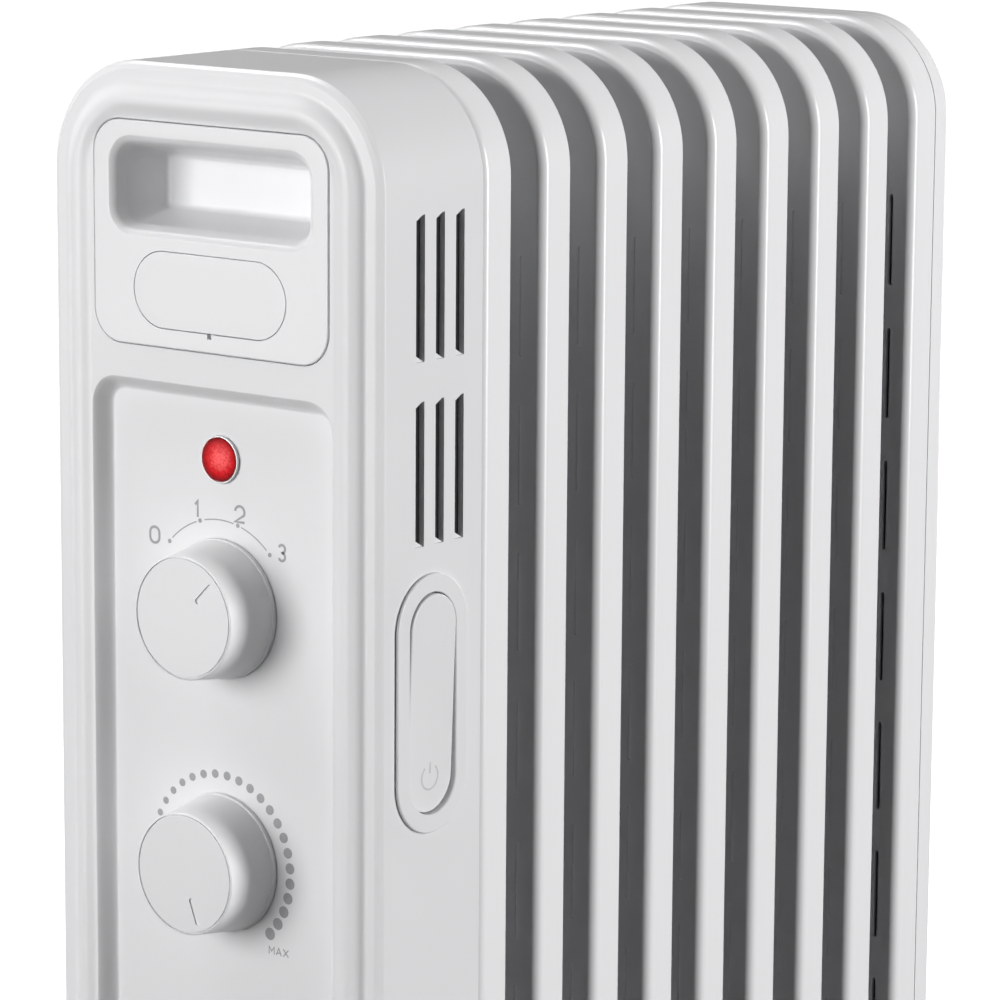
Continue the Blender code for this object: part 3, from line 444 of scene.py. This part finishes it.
def build_shell():
    """The moulded control box: a face that swells to a crest and steps down in an S-curve to an outer
    band, a sunk dial panel, and deep side walls."""
    back_edge = 0.0008
    swell = eased((0.0230, PLATE_Y), (CREST_INSET + 0.0008, CREST_Y), 8)
    step = eased((CREST_INSET, CREST_Y), (STEP_INSET, BAND_Y), 14)
    outside = filleted([(STEP_INSET, BAND_Y, 0), (0.0032, BAND_Y, 0.0016), (0.0014, BAND_Y + 0.0008, 0.0010),
                        (0, BAND_Y + 0.0024, 0.0014), (0, SHELL_BACK - back_edge, 0)])
    inside = [(back_edge * 0.6, SHELL_BACK), (WALL, SHELL_BACK), (WALL, BAND_Y + 2 * WALL),
              (0.0085, BAND_Y + WALL), (0.0160, PLATE_Y + WALL)]
    shell = stacked("control_shell", SHELL_HALF_X, SHELL_HALF_Z, CORNER_RADIUS,
                    swell + step + outside[1:] + inside, (0, 0, SHELL_MIDDLE.z), 24)
    recess_z = (RECESS_TOP + RECESS_BOTTOM) / 2
    recess_half = (RECESS_TOP - RECESS_BOTTOM) / 2
    tub = stacked("recess_tub", RECESS_HALF_X + WALL, recess_half + WALL, RECESS_RADIUS + WALL,
                  [(0.0006, 0.0012), (0.0006, RECESS_FLOOR + WALL)], (0, 0, recess_z))
    slope = eased((0, PLATE_Y - 0.0003), (RECESS_SLOPE, RECESS_FLOOR), 12, 0.14)
    hollow = stacked("recess_hollow", RECESS_HALF_X, recess_half, RECESS_RADIUS,
                     [(-0.0030, PLATE_Y - 0.0014), (-0.0008, PLATE_Y - 0.0005)] + slope, (0, 0, recess_z))
    window = stacked("handle_window", PANEL_HALF_X + GAP, PANEL_HALF_Z + GAP, PANEL_RADIUS + GAP,
                     [(-0.0003, -0.0020), (-0.0003, PLATE_Y - 0.0001), (0, PLATE_Y + 0.0003), (0, 0.0060)],
                     (0, 0, PANEL_MIDDLE.z))
    join(shell, tub)
    cut(shell, hollow, window)
    for name, radius, z in (("lamp_hole", LAMP_HOLE_RADIUS, LAMP.z),
                            ("selector_hole", SHAFT_HOLE_RADIUS, SELECTOR.z),
                            ("thermostat_hole", SHAFT_HOLE_RADIUS, THERMOSTAT.z)):
        cut(shell, turned(name, [(radius, 0.003), (radius, 0.016)], 48, at=(0, 0, z)))
    cut(shell, sideways("rocker_hole", ROCKER_HOLE_HALF_Y, ROCKER_HOLE_HALF_Z, ROCKER_HOLE_HALF_Y,
                        [(0, x) for x in WALL_CUT_X], (0, PAD.y, PAD.z)))
    cut(shell, turned("gland_hole", [(GLAND_HOLE_RADIUS, -0.006), (GLAND_HOLE_RADIUS, 0.006)], 40, "Z",
                      (0, place_of("cord_gland")[2].y, SHELL_LOW.z)))
    for side in (-1, 1):
        for bank in VENT_BANKS:
            for column in range(3):
                cut(shell, *vent_tools(bank, column, side))
    softened(settled(shell))
    finished(shell, "heater", HOUSING_PLASTIC, "housing", "control_housing")


def build_vent_shade_sheets():
    """Thin black sheets behind the slots, with a folded edge: painted shade, dark sheets that stand in for
    the shade inside the control box.
    """
    low_z = 0.4450
    high_z = 0.5920
    for side, where in ((-1, "left"), (1, "right")):
        board_x = sorted((side * 0.0843, side * 0.0838))
        lip_x = sorted((side * 0.0843, side * 0.0790))
        shade_sheet = block(f"vent_shade_sheet_{where}", (board_x[0], 0.0180, low_z), (board_x[1], 0.0640, high_z))
        join(shade_sheet, block(f"vent_shade_sheet_lip_{where}", (lip_x[0], 0.0635, low_z), (lip_x[1], 0.0642, high_z)))
        settled(shade_sheet)
        finished(shade_sheet, "heater", SHADE_SHEET_BLACK, "switch")


def build_handle_panel():
    """The panel with the soft-edged grip pocket, a seat for the plate below it, and the pry notch."""
    pocket_half_x = 0.0542
    pocket_top = 0.6101
    pocket_bottom = 0.5690
    pocket_depth = 0.026
    badge_low, badge_high, badge = place_of("badge_plate")
    badge_half_x = badge_high.x
    badge_half_z = (badge_high.z - badge_low.z) / 2
    panel = stacked("grip_panel", PANEL_HALF_X, PANEL_HALF_Z, PANEL_RADIUS,
                    filleted([(0.0030, 0, 0), (0, 0, 0.0007), (0, 0.0036, 0)]), (0, 0, PANEL_MIDDLE.z))
    pocket_z = (pocket_top + pocket_bottom) / 2
    pocket_half_z = (pocket_top - pocket_bottom) / 2
    tub = stacked("pocket_tub", pocket_half_x - 0.0012, pocket_half_z - 0.0012, 0.012,
                  [(0, 0.002), (0, 0.008), (0.005, pocket_depth + 0.0022)], (0, 0, pocket_z))
    inside = filleted([(0.0030, 0.0024, 0), (0.0046, 0.0060, 0.006), (0.0094, pocket_depth, 0.0030),
                       (0.0190, pocket_depth, 0)])
    hollow = stacked("pocket_hollow", pocket_half_x, pocket_half_z, 0.012,
                     [(-0.0016, -0.0010), (-0.0006, -0.0002), (0.0004, 0.0002), (0.0013, 0.0007),
                      (0.0022, 0.0014)] + inside, (0, 0, pocket_z))
    seat = stacked("badge_seat", badge_half_x + GAP, badge_half_z + GAP, badge_half_z + GAP,
                   [(0, -0.002), (0, 0.0022)], (0, 0, badge.z), 24)
    notch_low = badge_low.z - 0.0022
    notch = block("pry_notch", (-0.0011, -0.002, notch_low), (0.0011, 0.0020, notch_low + 0.0040))
    join(panel, tub)
    cut(panel, hollow, seat, notch)
    softened(settled(panel))
    finished(panel, "heater", PANEL_PLASTIC, "panel", "handle_panel")
    plate = stacked("badge_cap", badge_half_x, badge_half_z, badge_half_z,
                    filleted([(0.0060, badge_low.y, 0), (0, badge_low.y + 0.0001, 0.0004),
                              (0, badge_high.y, 0)]), (0, 0, badge.z), 24)
    softened(plate)
    finished(plate, "heater", PANEL_PLASTIC, "panel", "badge_plate")


def build_lamp():
    """The indicator's thin ring and its domed, pebbled lens."""
    ring_low, ring_high, _ = place_of("lamp_bezel")
    lens_low, lens_high, _ = place_of("lamp_lens")
    seat = RECESS_FLOOR - GAP
    radius = ring_high.x
    rim_y = ring_low.y + 0.0004
    lens_radius = 0.0091
    rim_inside = lens_radius + 0.0001
    tail_inside = 0.0081
    tail_outside = LAMP_HOLE_RADIUS - GAP
    ledge_y = seat - 0.0002
    rim = filleted([(radius, seat, 0), (radius, rim_y, 0.0004), (rim_inside, rim_y, 0.0002),
                    (rim_inside, ledge_y, 0)])
    tail = [(tail_inside, ledge_y), (tail_inside, ring_high.y), (tail_outside, ring_high.y),
            (tail_outside, seat)]
    ring = turned("lamp_ring", rim + tail, 72, at=(0, 0, LAMP.z), bored=True)
    softened(ring)
    finished(ring, "heater", RING_CHROME, "bezel", "lamp_bezel")
    dome = []
    dome_foot = seat - 0.0004
    dome_height = dome_foot - lens_low.y - 0.0006
    stem_radius = tail_inside - GAP
    for step in range(12):
        angle = math.radians(4 + 86 * step / 11)
        dome.append((lens_radius * math.sin(angle), dome_foot - dome_height * math.cos(angle)))
    lens = turned("lamp_dome", dome + [(stem_radius, dome_foot), (stem_radius, lens_high.y)], 72,
                  at=(0, 0, LAMP.z))
    softened(lens, 50)
    finished(lens, "heater", LENS_RED, "lens", "lamp_lens")


def build_knob(name, z, pointer_degrees):
    """A tapered knob with a fine ring cut round its cap and an engraved pointer."""
    low, high, _ = place_of(f"{name}_knob")
    cap_y = low.y
    seat = high.y
    cap_radius = 0.0256
    base_radius = 0.0285
    flange_radius = high.x
    ring_radius = 0.0243
    ring_floor = cap_y + 0.0008
    profile = [(0.0005, cap_y), (0.0240, cap_y), (ring_radius, cap_y + 0.0001),
               (ring_radius + 0.00012, ring_floor), (ring_radius + 0.00044, ring_floor),
               (ring_radius + 0.0006, cap_y + 0.0001)]
    profile += filleted([(ring_radius + 0.00062, cap_y, 0), (cap_radius, cap_y + 0.0001, 0.0006),
                         (base_radius, seat - 0.0024, 0), (base_radius + 0.0002, seat - 0.0019, 0.0003),
                         (flange_radius, seat - 0.0017, 0.0003), (flange_radius, seat, 0)])
    knob = turned(f"{name}_dial", profile, 96, at=(0, 0, z))
    groove_half_length = 0.0058
    groove_half_width = 0.0012
    groove = stacked(f"{name}_pointer", groove_half_width, groove_half_length, groove_half_width,
                     [(0, cap_y - 0.001), (0, cap_y + 0.0006)], steps=6)
    turn = math.radians(pointer_degrees)
    reach = 0.0160
    groove.location += Vector((reach * math.sin(turn), 0, z + reach * math.cos(turn)))
    groove.rotation_euler.y = turn
    bore_radius = 0.0033
    bore = turned(f"{name}_bore", [(bore_radius, -0.0045), (bore_radius, 0.010)], 24, at=(0, 0, z))
    cut(knob, groove, bore)
    softened(settled(knob))
    finished(knob, name, KNOB_PLASTIC, "knob", f"{name}_knob")


# ---------------------------------------------------------------------------------------------
# Prints
# ---------------------------------------------------------------------------------------------

INK_HEIGHT = 0.00006


def arc(centre_u, centre_v, radius, first_degrees, last_degrees, steps=12):
    """Points of an arc; degrees run clockwise from straight up, as on a dial."""
    points = []
    for step in range(steps + 1):
        angle = math.radians(first_degrees + (last_degrees - first_degrees) * step / steps)
        points.append((centre_u + radius * math.sin(angle), centre_v + radius * math.cos(angle)))
    return points


class Print:
    """Thin raised ink on a flat surface, drawn in (u, v) metres about one point."""

    def __init__(self, to_space):
        self.to_space = to_space
        self.vertices = []
        self.faces = []

    def patch(self, flat):
        """One filled polygon with short walls down to the surface."""
        start = len(self.vertices)
        count = len(flat)
        self.vertices += [self.to_space(u, v, INK_HEIGHT) for u, v in flat]
        self.vertices += [self.to_space(u, v, 0) for u, v in flat]
        self.faces.append(tuple(range(start, start + count)))
        for index in range(count):
            after = (index + 1) % count
            self.faces.append((start + index, start + after, start + count + after, start + count + index))

    def dot(self, u, v, radius):
        self.patch(arc(u, v, radius, 0, 345, 23))

    def stroke(self, points, width):
        """An open line of even width with mitred corners."""
        left = []
        right = []
        for index, point in enumerate(points):
            here = Vector(point)
            before = Vector(points[max(index - 1, 0)])
            after = Vector(points[min(index + 1, len(points) - 1)])
            into = (here - before).normalized() if index else (after - here).normalized()
            out = (after - here).normalized() if index < len(points) - 1 else into
            normal = Vector((-into.y - out.y, into.x + out.x)).normalized()
            reach = width / 2 / max(normal.dot(Vector((-out.y, out.x))), 0.5)
            left.append(tuple(here + normal * reach))
            right.append(tuple(here - normal * reach))
        for index in range(len(points) - 1):
            self.patch([left[index], left[index + 1], right[index + 1], right[index]])

    def made(self, name, at=(0, 0, 0)):
        return mesh_object(name, self.vertices, self.faces, at)


def glyph(character, u, v, width, height):
    """The strokes of one character of a plain engraving alphabet, centred at (u, v)."""
    half_u = width / 2
    half_v = height / 2
    bowl = half_u
    if character == "0":
        sides = outline(half_u, half_v, half_u * 0.95, 6)
        strokes = [sides + [sides[0]]]
    elif character == "1":
        strokes = [[(-half_u * 0.45, half_v * 0.52), (half_u * 0.10, half_v), (half_u * 0.10, -half_v)]]
    elif character == "2":
        top = arc(0, half_v - bowl, bowl, -82, 118, 12)
        strokes = [top + [(-half_u, -half_v), (half_u, -half_v)]]
    elif character == "3":
        upper = arc(0, half_v * 0.50, half_v * 0.50, -70, 175, 10)
        lower = arc(0, -half_v * 0.50, half_v * 0.50, 5, 250, 10)
        strokes = [upper + lower]
    elif character == "M":
        strokes = [[(-half_u, -half_v), (-half_u, half_v), (0, -half_v * 0.2), (half_u, half_v),
                    (half_u, -half_v)]]
    elif character == "A":
        strokes = [[(-half_u, -half_v), (0, half_v), (half_u, -half_v)],
                   [(-half_u * 0.6, -half_v * 0.35), (half_u * 0.6, -half_v * 0.35)]]
    else:
        strokes = [[(-half_u, -half_v), (half_u, half_v)], [(-half_u, half_v), (half_u, -half_v)]]
    return [[(u + a, v + b) for a, b in stroke] for stroke in strokes]


def on_dial(u, v, height):
    """Dial prints lie on the floor of the sunk panel."""
    return (u, RECESS_FLOOR - height, v)


SCALE_CENTRE_U = -0.0008


def build_selector_scale():
    """Four positions numbered 0 to 3 round the upper half of the selector, with arcs between dots."""
    scale = Print(on_dial)
    radius = 0.0368
    for angle in (-48, -17, 15, 46):
        turn = math.radians(angle)
        scale.dot(SCALE_CENTRE_U + radius * math.sin(turn), radius * math.cos(turn), 0.00095)
    for first, last in ((-44.5, -20), (-13, 11.5), (18, 42.5)):
        scale.stroke(arc(SCALE_CENTRE_U, 0, radius, first, last), 0.0005)
    for character, u, v in (("0", -0.0363, 0.0263), ("1", -0.0130, 0.0399), ("2", 0.0098, 0.0404),
                            ("3", 0.0321, 0.0272)):
        for stroke in glyph(character, u, v, 0.0050, 0.0066):
            scale.stroke(stroke, 0.0011)
    piece = scale.made("selector_scale_print", (0, 0, SELECTOR.z))
    finished(piece, "heater", PRINT_GREY, "panel")


def build_thermostat_scale():
    """A ring of dots that grow clockwise, with the word MAX at its end."""
    scale = Print(on_dial)
    radius = 0.0370
    dots = 28
    for index in range(dots):
        turn = math.radians(-135 + 10 * index)
        scale.dot(SCALE_CENTRE_U + radius * math.sin(turn), radius * math.cos(turn),
                  0.0011 + 0.0015 * index / (dots - 1))
    for character, u in (("M", 0.0262), ("A", 0.0300), ("X", 0.0338)):
        for stroke in glyph(character, u, -0.0330, 0.0027, 0.0031):
            scale.stroke(stroke, 0.0005)
    piece = scale.made("thermostat_scale_print", (0, 0, THERMOSTAT.z))
    finished(piece, "heater", PRINT_GREY, "panel")


def build_rocker():
    """The push pad's raised bezel, and the pad with a faint power mark near its lower end."""
    low, high, middle = place_of("rocker_frame")
    half_y = (high.y - low.y) / 2
    half_z = (high.z - low.z) / 2
    wall = SHELL_HALF_X
    pad_joint = next(joint for joint in frame["joints"] if joint["name"] == "rocker_tilt")
    pivot = Vector(pad_joint["pos_m"]) - Vector((0, FACE, 0))
    pad_half_y = 0.0143
    pad_half_z = 0.0453
    tilt = math.radians(2)
    bezel = sideways("rocker_bezel", half_y, half_z, half_y,
                     filleted([(0.0050, high.x, 0), (0, high.x, 0.0007), (0, wall + 0.0006, 0),
                               (0.0005, wall + GAP, 0)]), (0, middle.y, middle.z), 24)
    neck_margin = 0.0020
    hole_margin = 0.0006
    neck = sideways("rocker_neck", pad_half_y + neck_margin, pad_half_z + neck_margin,
                    pad_half_y + neck_margin, [(0, 0.0815), (0, wall + 0.001)], (0, middle.y, middle.z), 24)
    hole = sideways("rocker_opening", pad_half_y + hole_margin, pad_half_z + hole_margin,
                    pad_half_y + hole_margin,
                    [(0, 0.080), (0, high.x - 0.0004), (-0.0004, high.x + 0.0001), (-0.0010, 0.092)],
                    (0, middle.y, middle.z), 24)
    join(bezel, neck)
    cut(bezel, hole)
    softened(settled(bezel))
    finished(bezel, "heater", ROCKER_PLASTIC, "rocker", "rocker_frame")
    pad_face = 0.0032
    pad = sideways("rocker_pad", pad_half_y, pad_half_z, pad_half_y,
                   [(0, -0.0022)] + filleted([(0, 0.0, 0), (0, pad_face, 0.0008), (0.0060, pad_face, 0)]),
                   pivot, 24)
    pad.rotation_euler.y = tilt
    softened(pad)
    finished(pad, "rocker", ROCKER_PLASTIC, "rocker", "rocker_button")
    mark = Print(lambda u, v, height: (pad_face + height, u, v))
    mark_z = -0.0305
    mark_radius = 0.0052
    mark.stroke(arc(0, mark_z, mark_radius, 40, 320, 24), 0.0008)
    mark.stroke([(0, mark_z + 0.0015), (0, mark_z + mark_radius + 0.0010)], 0.0008)
    symbol = mark.made("rocker_mark", pivot)
    symbol.rotation_euler.y = tilt
    finished(symbol, "rocker", FAINT_PRINT, "rocker")


# ---------------------------------------------------------------------------------------------
# Fins and end cover
# ---------------------------------------------------------------------------------------------

FIN_LOW, FIN_HIGH, FIN_MIDDLE = place_of("fin_2")
FIN_BAND = 0.0178
TOP_HUB_Z = FIN_HIGH.z - CORNER_RADIUS
BOTTOM_HUB_Z = FIN_LOW.z + CORNER_RADIUS
HUB_RADIUS = 0.020
CHAMBER_HALF_X = 0.062
FIN_PITCH = 0.040
HUB_REACH = 0.0218
SLOT_X = 0.0755
SLOT_HALF_WIDTH = 0.0009
SLOT_HALF_LENGTH = 0.021
SLOT_PITCH = 0.062


def fin_pattern(label, chamber_front, hub_front, hub_back):
    """One folded steel fin with its pressed oil chamber, its tube hubs and its rows of slots."""
    half_x = FIN_HIGH.x
    half_z = (FIN_HIGH.z - FIN_LOW.z) / 2
    hem = 0.0004
    folded = filleted([(0.0100, 0, 0), (0, 0, FOLD_RADIUS), (0, FIN_BAND - hem, 0)], 8)
    inner = [(hem, FIN_BAND), (SHEET - hem, FIN_BAND), (SHEET, FIN_BAND - hem), (SHEET, FOLD_RADIUS),
             (SHEET + 0.0009, SHEET + 0.0009), (FOLD_RADIUS, SHEET)]
    fin = stacked(f"fin_skin_{label}", half_x, half_z, CORNER_RADIUS, folded + inner, (0, 0, 0), 20)
    hub_middle = (TOP_HUB_Z + BOTTOM_HUB_Z) / 2 - FIN_MIDDLE.z
    chamber_half_z = (TOP_HUB_Z - BOTTOM_HUB_Z) / 2 + HUB_RADIUS + 0.003
    chamber = stacked(f"chamber_{label}", CHAMBER_HALF_X, chamber_half_z, 0.020,
                      filleted([(0.0100, -chamber_front, 0),
                                (0.0012, -chamber_front, min(chamber_front, 0.0028)), (0, 0.0030, 0),
                                (0, 0.0052, 0), (0.0014, 0.0080, 0.0020), (0.0100, 0.0080, 0)]),
                      (0, 0, hub_middle), 10)
    join(fin, chamber)
    for name, z, bore in (("top", TOP_HUB_Z, 0.009), ("bottom", BOTTOM_HUB_Z, 0.015)):
        join(fin, turned(f"{name}_hub_{label}", [(HUB_RADIUS, -hub_front), (HUB_RADIUS, hub_back)], 40,
                         at=(0, 0, z - FIN_MIDDLE.z)))
        cut(fin, turned(f"{name}_bore_{label}", [(bore, -0.03), (bore, 0.03)], 24,
                        at=(0, 0, z - FIN_MIDDLE.z)))
    for side in (-1, 1):
        for row in range(-3, 4):
            cut(fin, stacked(f"slot_{label}_{side}_{row}", SLOT_HALF_WIDTH, SLOT_HALF_LENGTH,
                             SLOT_HALF_WIDTH, [(0, -0.003), (0, 0.003)],
                             (side * SLOT_X, 0, row * SLOT_PITCH), 3))
    softened(settled(fin))
    return fin


def build_fins():
    """Nine fins: the first and the last have oil hubs of their own, and the seven between share a mesh."""
    count = 9
    clear = FIN_PITCH - HUB_REACH - GAP
    first = fin_pattern("first", 0.0012, 0.0018, HUB_REACH)
    last = fin_pattern("last", 0.0040, clear, FIN_BAND)
    between = fin_pattern("between", 0.0040, clear, HUB_REACH)
    for index in range(count):
        node = f"fin_{index + 1}"
        pattern = first if index == 0 else last if index == count - 1 else between
        skin = bpy.data.objects.new(f"{node}_skin", pattern.data)
        bpy.context.scene.collection.objects.link(skin)
        weighted = skin.modifiers.new("weighted", "WEIGHTED_NORMAL")
        weighted.keep_sharp = True
        sheet_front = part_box(node)[1].y - (FIN_BAND if index == count - 1 else HUB_REACH)
        skin.location = (0, sheet_front, FIN_MIDDLE.z)
        finished(skin, "heater", FIN_ENAMEL, "enamel", node)
    for pattern in (first, last, between):
        bpy.data.objects.remove(pattern)


SCREW_HOLE_RADIUS = 0.0023


def build_end_cover():
    """The pressed rear cover, with a soft edge, a shallow raised field and holes for its screws."""
    low, high, middle = place_of("end_cover")
    sheet = 0.0015
    half_z = (high.z - low.z) / 2
    shell = [(sheet, high.y - 0.0064), (sheet, low.y)]
    outside = filleted([(0, low.y, 0), (0, high.y - 0.0004, 0.0062), (0.0120, high.y - 0.0004, 0),
                        (0.0140, high.y, 0), (0.0300, high.y, 0)], 8)
    inner_cap = [(0.0060, high.y - sheet - 0.0004)]
    cover = stacked("rear_cover", high.x, half_z, CORNER_RADIUS, inner_cap + shell + outside,
                    (0, 0, middle.z), 20)
    for z in (TOP_HUB_Z, BOTTOM_HUB_Z):
        cut(cover, turned(f"cover_hole_{z}", [(SCREW_HOLE_RADIUS, high.y - 0.01),
                                              (SCREW_HOLE_RADIUS, high.y + 0.01)], 32, at=(0, 0, z)))
    softened(settled(cover))
    finished(cover, "heater", FIN_ENAMEL, "enamel", "end_cover")


def build_cover_screw(node):
    """A domed screw with a cross recess."""
    low, high, middle = place_of(node)
    head_y = high.y
    screw = turned(f"{node}_cross", [(0.0006, head_y), (0.0020, head_y - 0.0001), (0.0032, head_y - 0.0006),
                                     (0.0039, head_y - 0.0013), (0.0040, head_y - 0.0018),
                                     (0.0020, head_y - 0.0018), (0.0020, low.y)], 40, at=(0, 0, middle.z))
    for index, (half_x, half_z) in enumerate(((0.0022, 0.0005), (0.0005, 0.0022))):
        cut(screw, block(f"{node}_recess_{index}", (-half_x, head_y - 0.0011, -half_z),
                         (half_x, head_y + 0.001, half_z), (0, 0, middle.z)))
    softened(settled(screw))
    finished(screw, "heater", FASTENER, "fastener", node)


# ---------------------------------------------------------------------------------------------
# CAD nodes that are shown as they are
# ---------------------------------------------------------------------------------------------

KEPT = {
    SWITCH_BLACK: ["selector_switch", "rocker_switch"],
    CERAMIC: ["thermostat_body"],
    ZINC_PLATE: ["heat_shield"],
    TERMINAL: ["terminal_block"],
    BRIGHT_STEEL: ["thermal_cutout", "selector_shaft", "thermostat_shaft"],
    LEAD: ["supply_lead", "switch_lead", "cutout_lead", "element_lead"],
    PLAIN_STEEL: ["heating_element", "filler_plug", "top_rear_plug", "bottom_rear_plug"],
    SEAL: ["element_seal"],
    NEON: ["neon_lamp"],
    GLAND: ["cord_gland"],
    FOOT_ENAMEL: ["front_foot", "rear_foot"],
    FASTENER: ["front_u_bolt", "rear_u_bolt"],
}
CORNERS = [f"{end}_{side}" for end in ("front", "rear") for side in ("left", "right")]


def dress_cad_nodes():
    """Gives every CAD node that stays in view its procedural material."""
    nodes = frame["nodes"]
    rows = [(finish, name) for finish, names in KEPT.items() for name in names]
    for corner in CORNERS:
        rows += [(FASTENER, f"{corner}_wing_nut"), (CASTER, f"{corner}_fork"), (WHEEL, f"{corner}_wheel"),
                 (BRIGHT_STEEL, f"{corner}_axle")]
    for finish, name in rows:
        nodes[name].data.materials.clear()
        nodes[name].data.materials.append(finish)


# ---------------------------------------------------------------------------------------------
# Floor, light and camera
# ---------------------------------------------------------------------------------------------

def build_floor():
    """A wide pale floor that reaches well past the object on every side."""
    reach = 40.0
    floor = mesh_object("studio_floor", [(-reach, -reach, 0), (reach, -reach, 0), (reach, reach, 0),
                                         (-reach, reach, 0)], [(0, 1, 2, 3)])
    floor.location.y = 0
    paper = surface("studio_paper", (0.88, 0.88, 0.88), 0.9, shade=0.004, shade_scale=3.0, grain=60)
    shader = paper.node_tree.nodes["Principled BSDF"]
    shader.inputs["Emission Color"].default_value = (1, 1, 1, 1)
    shader.inputs["Emission Strength"].default_value = 1.0
    floor.data.materials.append(paper)
    floor.visible_diffuse = False
    floor.visible_glossy = False


def build_softbox(name, azimuth, elevation, distance, size, watts):
    """A rectangular area light that faces the middle of the object."""
    light = bpy.data.lights.new(name, "AREA")
    light.shape = "RECTANGLE"
    light.size = size[0]
    light.size_y = size[1]
    light.energy = watts
    made = bpy.data.objects.new(name, light)
    bpy.context.scene.collection.objects.link(made)
    around = math.radians(azimuth)
    up = math.radians(elevation)
    target = Vector((0, 0, 0.42))
    offset = Vector((math.sin(around) * math.cos(up), -math.cos(around) * math.cos(up), math.sin(up)))
    made.location = target + offset * distance
    made.rotation_euler = (-offset).to_track_quat("-Z", "Y").to_euler()


def build_world():
    """A dim, even fill from all sides."""
    world = bpy.data.worlds.new("studio")
    world.use_nodes = True
    background = world.node_tree.nodes["Background"]
    background.inputs["Color"].default_value = (1.0, 1.0, 1.0, 1)
    background.inputs["Strength"].default_value = 0.05
    bpy.context.scene.world = world


def build_camera():
    """The camera stands ahead of the control panel's right-hand corner and looks slightly down."""
    yaw = 0.6529
    pitch = 0.1855
    roll = 0.0069
    right = Vector((math.cos(yaw), math.sin(yaw), 0))
    level = Vector((-math.sin(yaw), math.cos(yaw), 0))
    up = Vector((0, 0, 1))
    forward = level * math.cos(pitch) - up * math.sin(pitch)
    above = up * math.cos(pitch) + level * math.sin(pitch)
    turned_right = right * math.cos(roll) + above * math.sin(roll)
    turned_above = above * math.cos(roll) - right * math.sin(roll)
    lens = bpy.data.cameras.new("camera")
    lens.lens = 165.6
    lens.sensor_width = 36
    lens.clip_end = 200
    camera = bpy.data.objects.new("camera", lens)
    bpy.context.scene.collection.objects.link(camera)
    axes = Matrix((turned_right, turned_above, -forward)).transposed()
    camera.matrix_world = Matrix.Translation((1.2061, -1.5866, 0.8093)) @ axes.to_4x4()
    bpy.context.scene.camera = camera


build_shell()
# painted shade: black sheets behind the vent slots stand in for the shade inside the control box
build_vent_shade_sheets()
build_handle_panel()
build_lamp()
build_knob("selector", SELECTOR.z, 45)
build_knob("thermostat", THERMOSTAT.z, 160)
build_selector_scale()
build_thermostat_scale()
build_rocker()
build_fins()
build_end_cover()
build_cover_screw("top_cover_screw")
build_cover_screw("bottom_cover_screw")
dress_cad_nodes()
build_floor()
build_softbox("key_softbox", -21, 5, 3.0, (2.2, 2.2), 92)
build_softbox("side_softbox", 98, 4, 3.0, (0.5, 2.0), 95)
build_softbox("top_softbox", -80, 60, 3.0, (1.2, 1.2), 50)
build_softbox("rear_softbox", 180, 8, 3.0, (1.4, 1.8), 45)
build_world()
build_camera()
bpy.context.scene.view_settings.view_transform = "Standard"
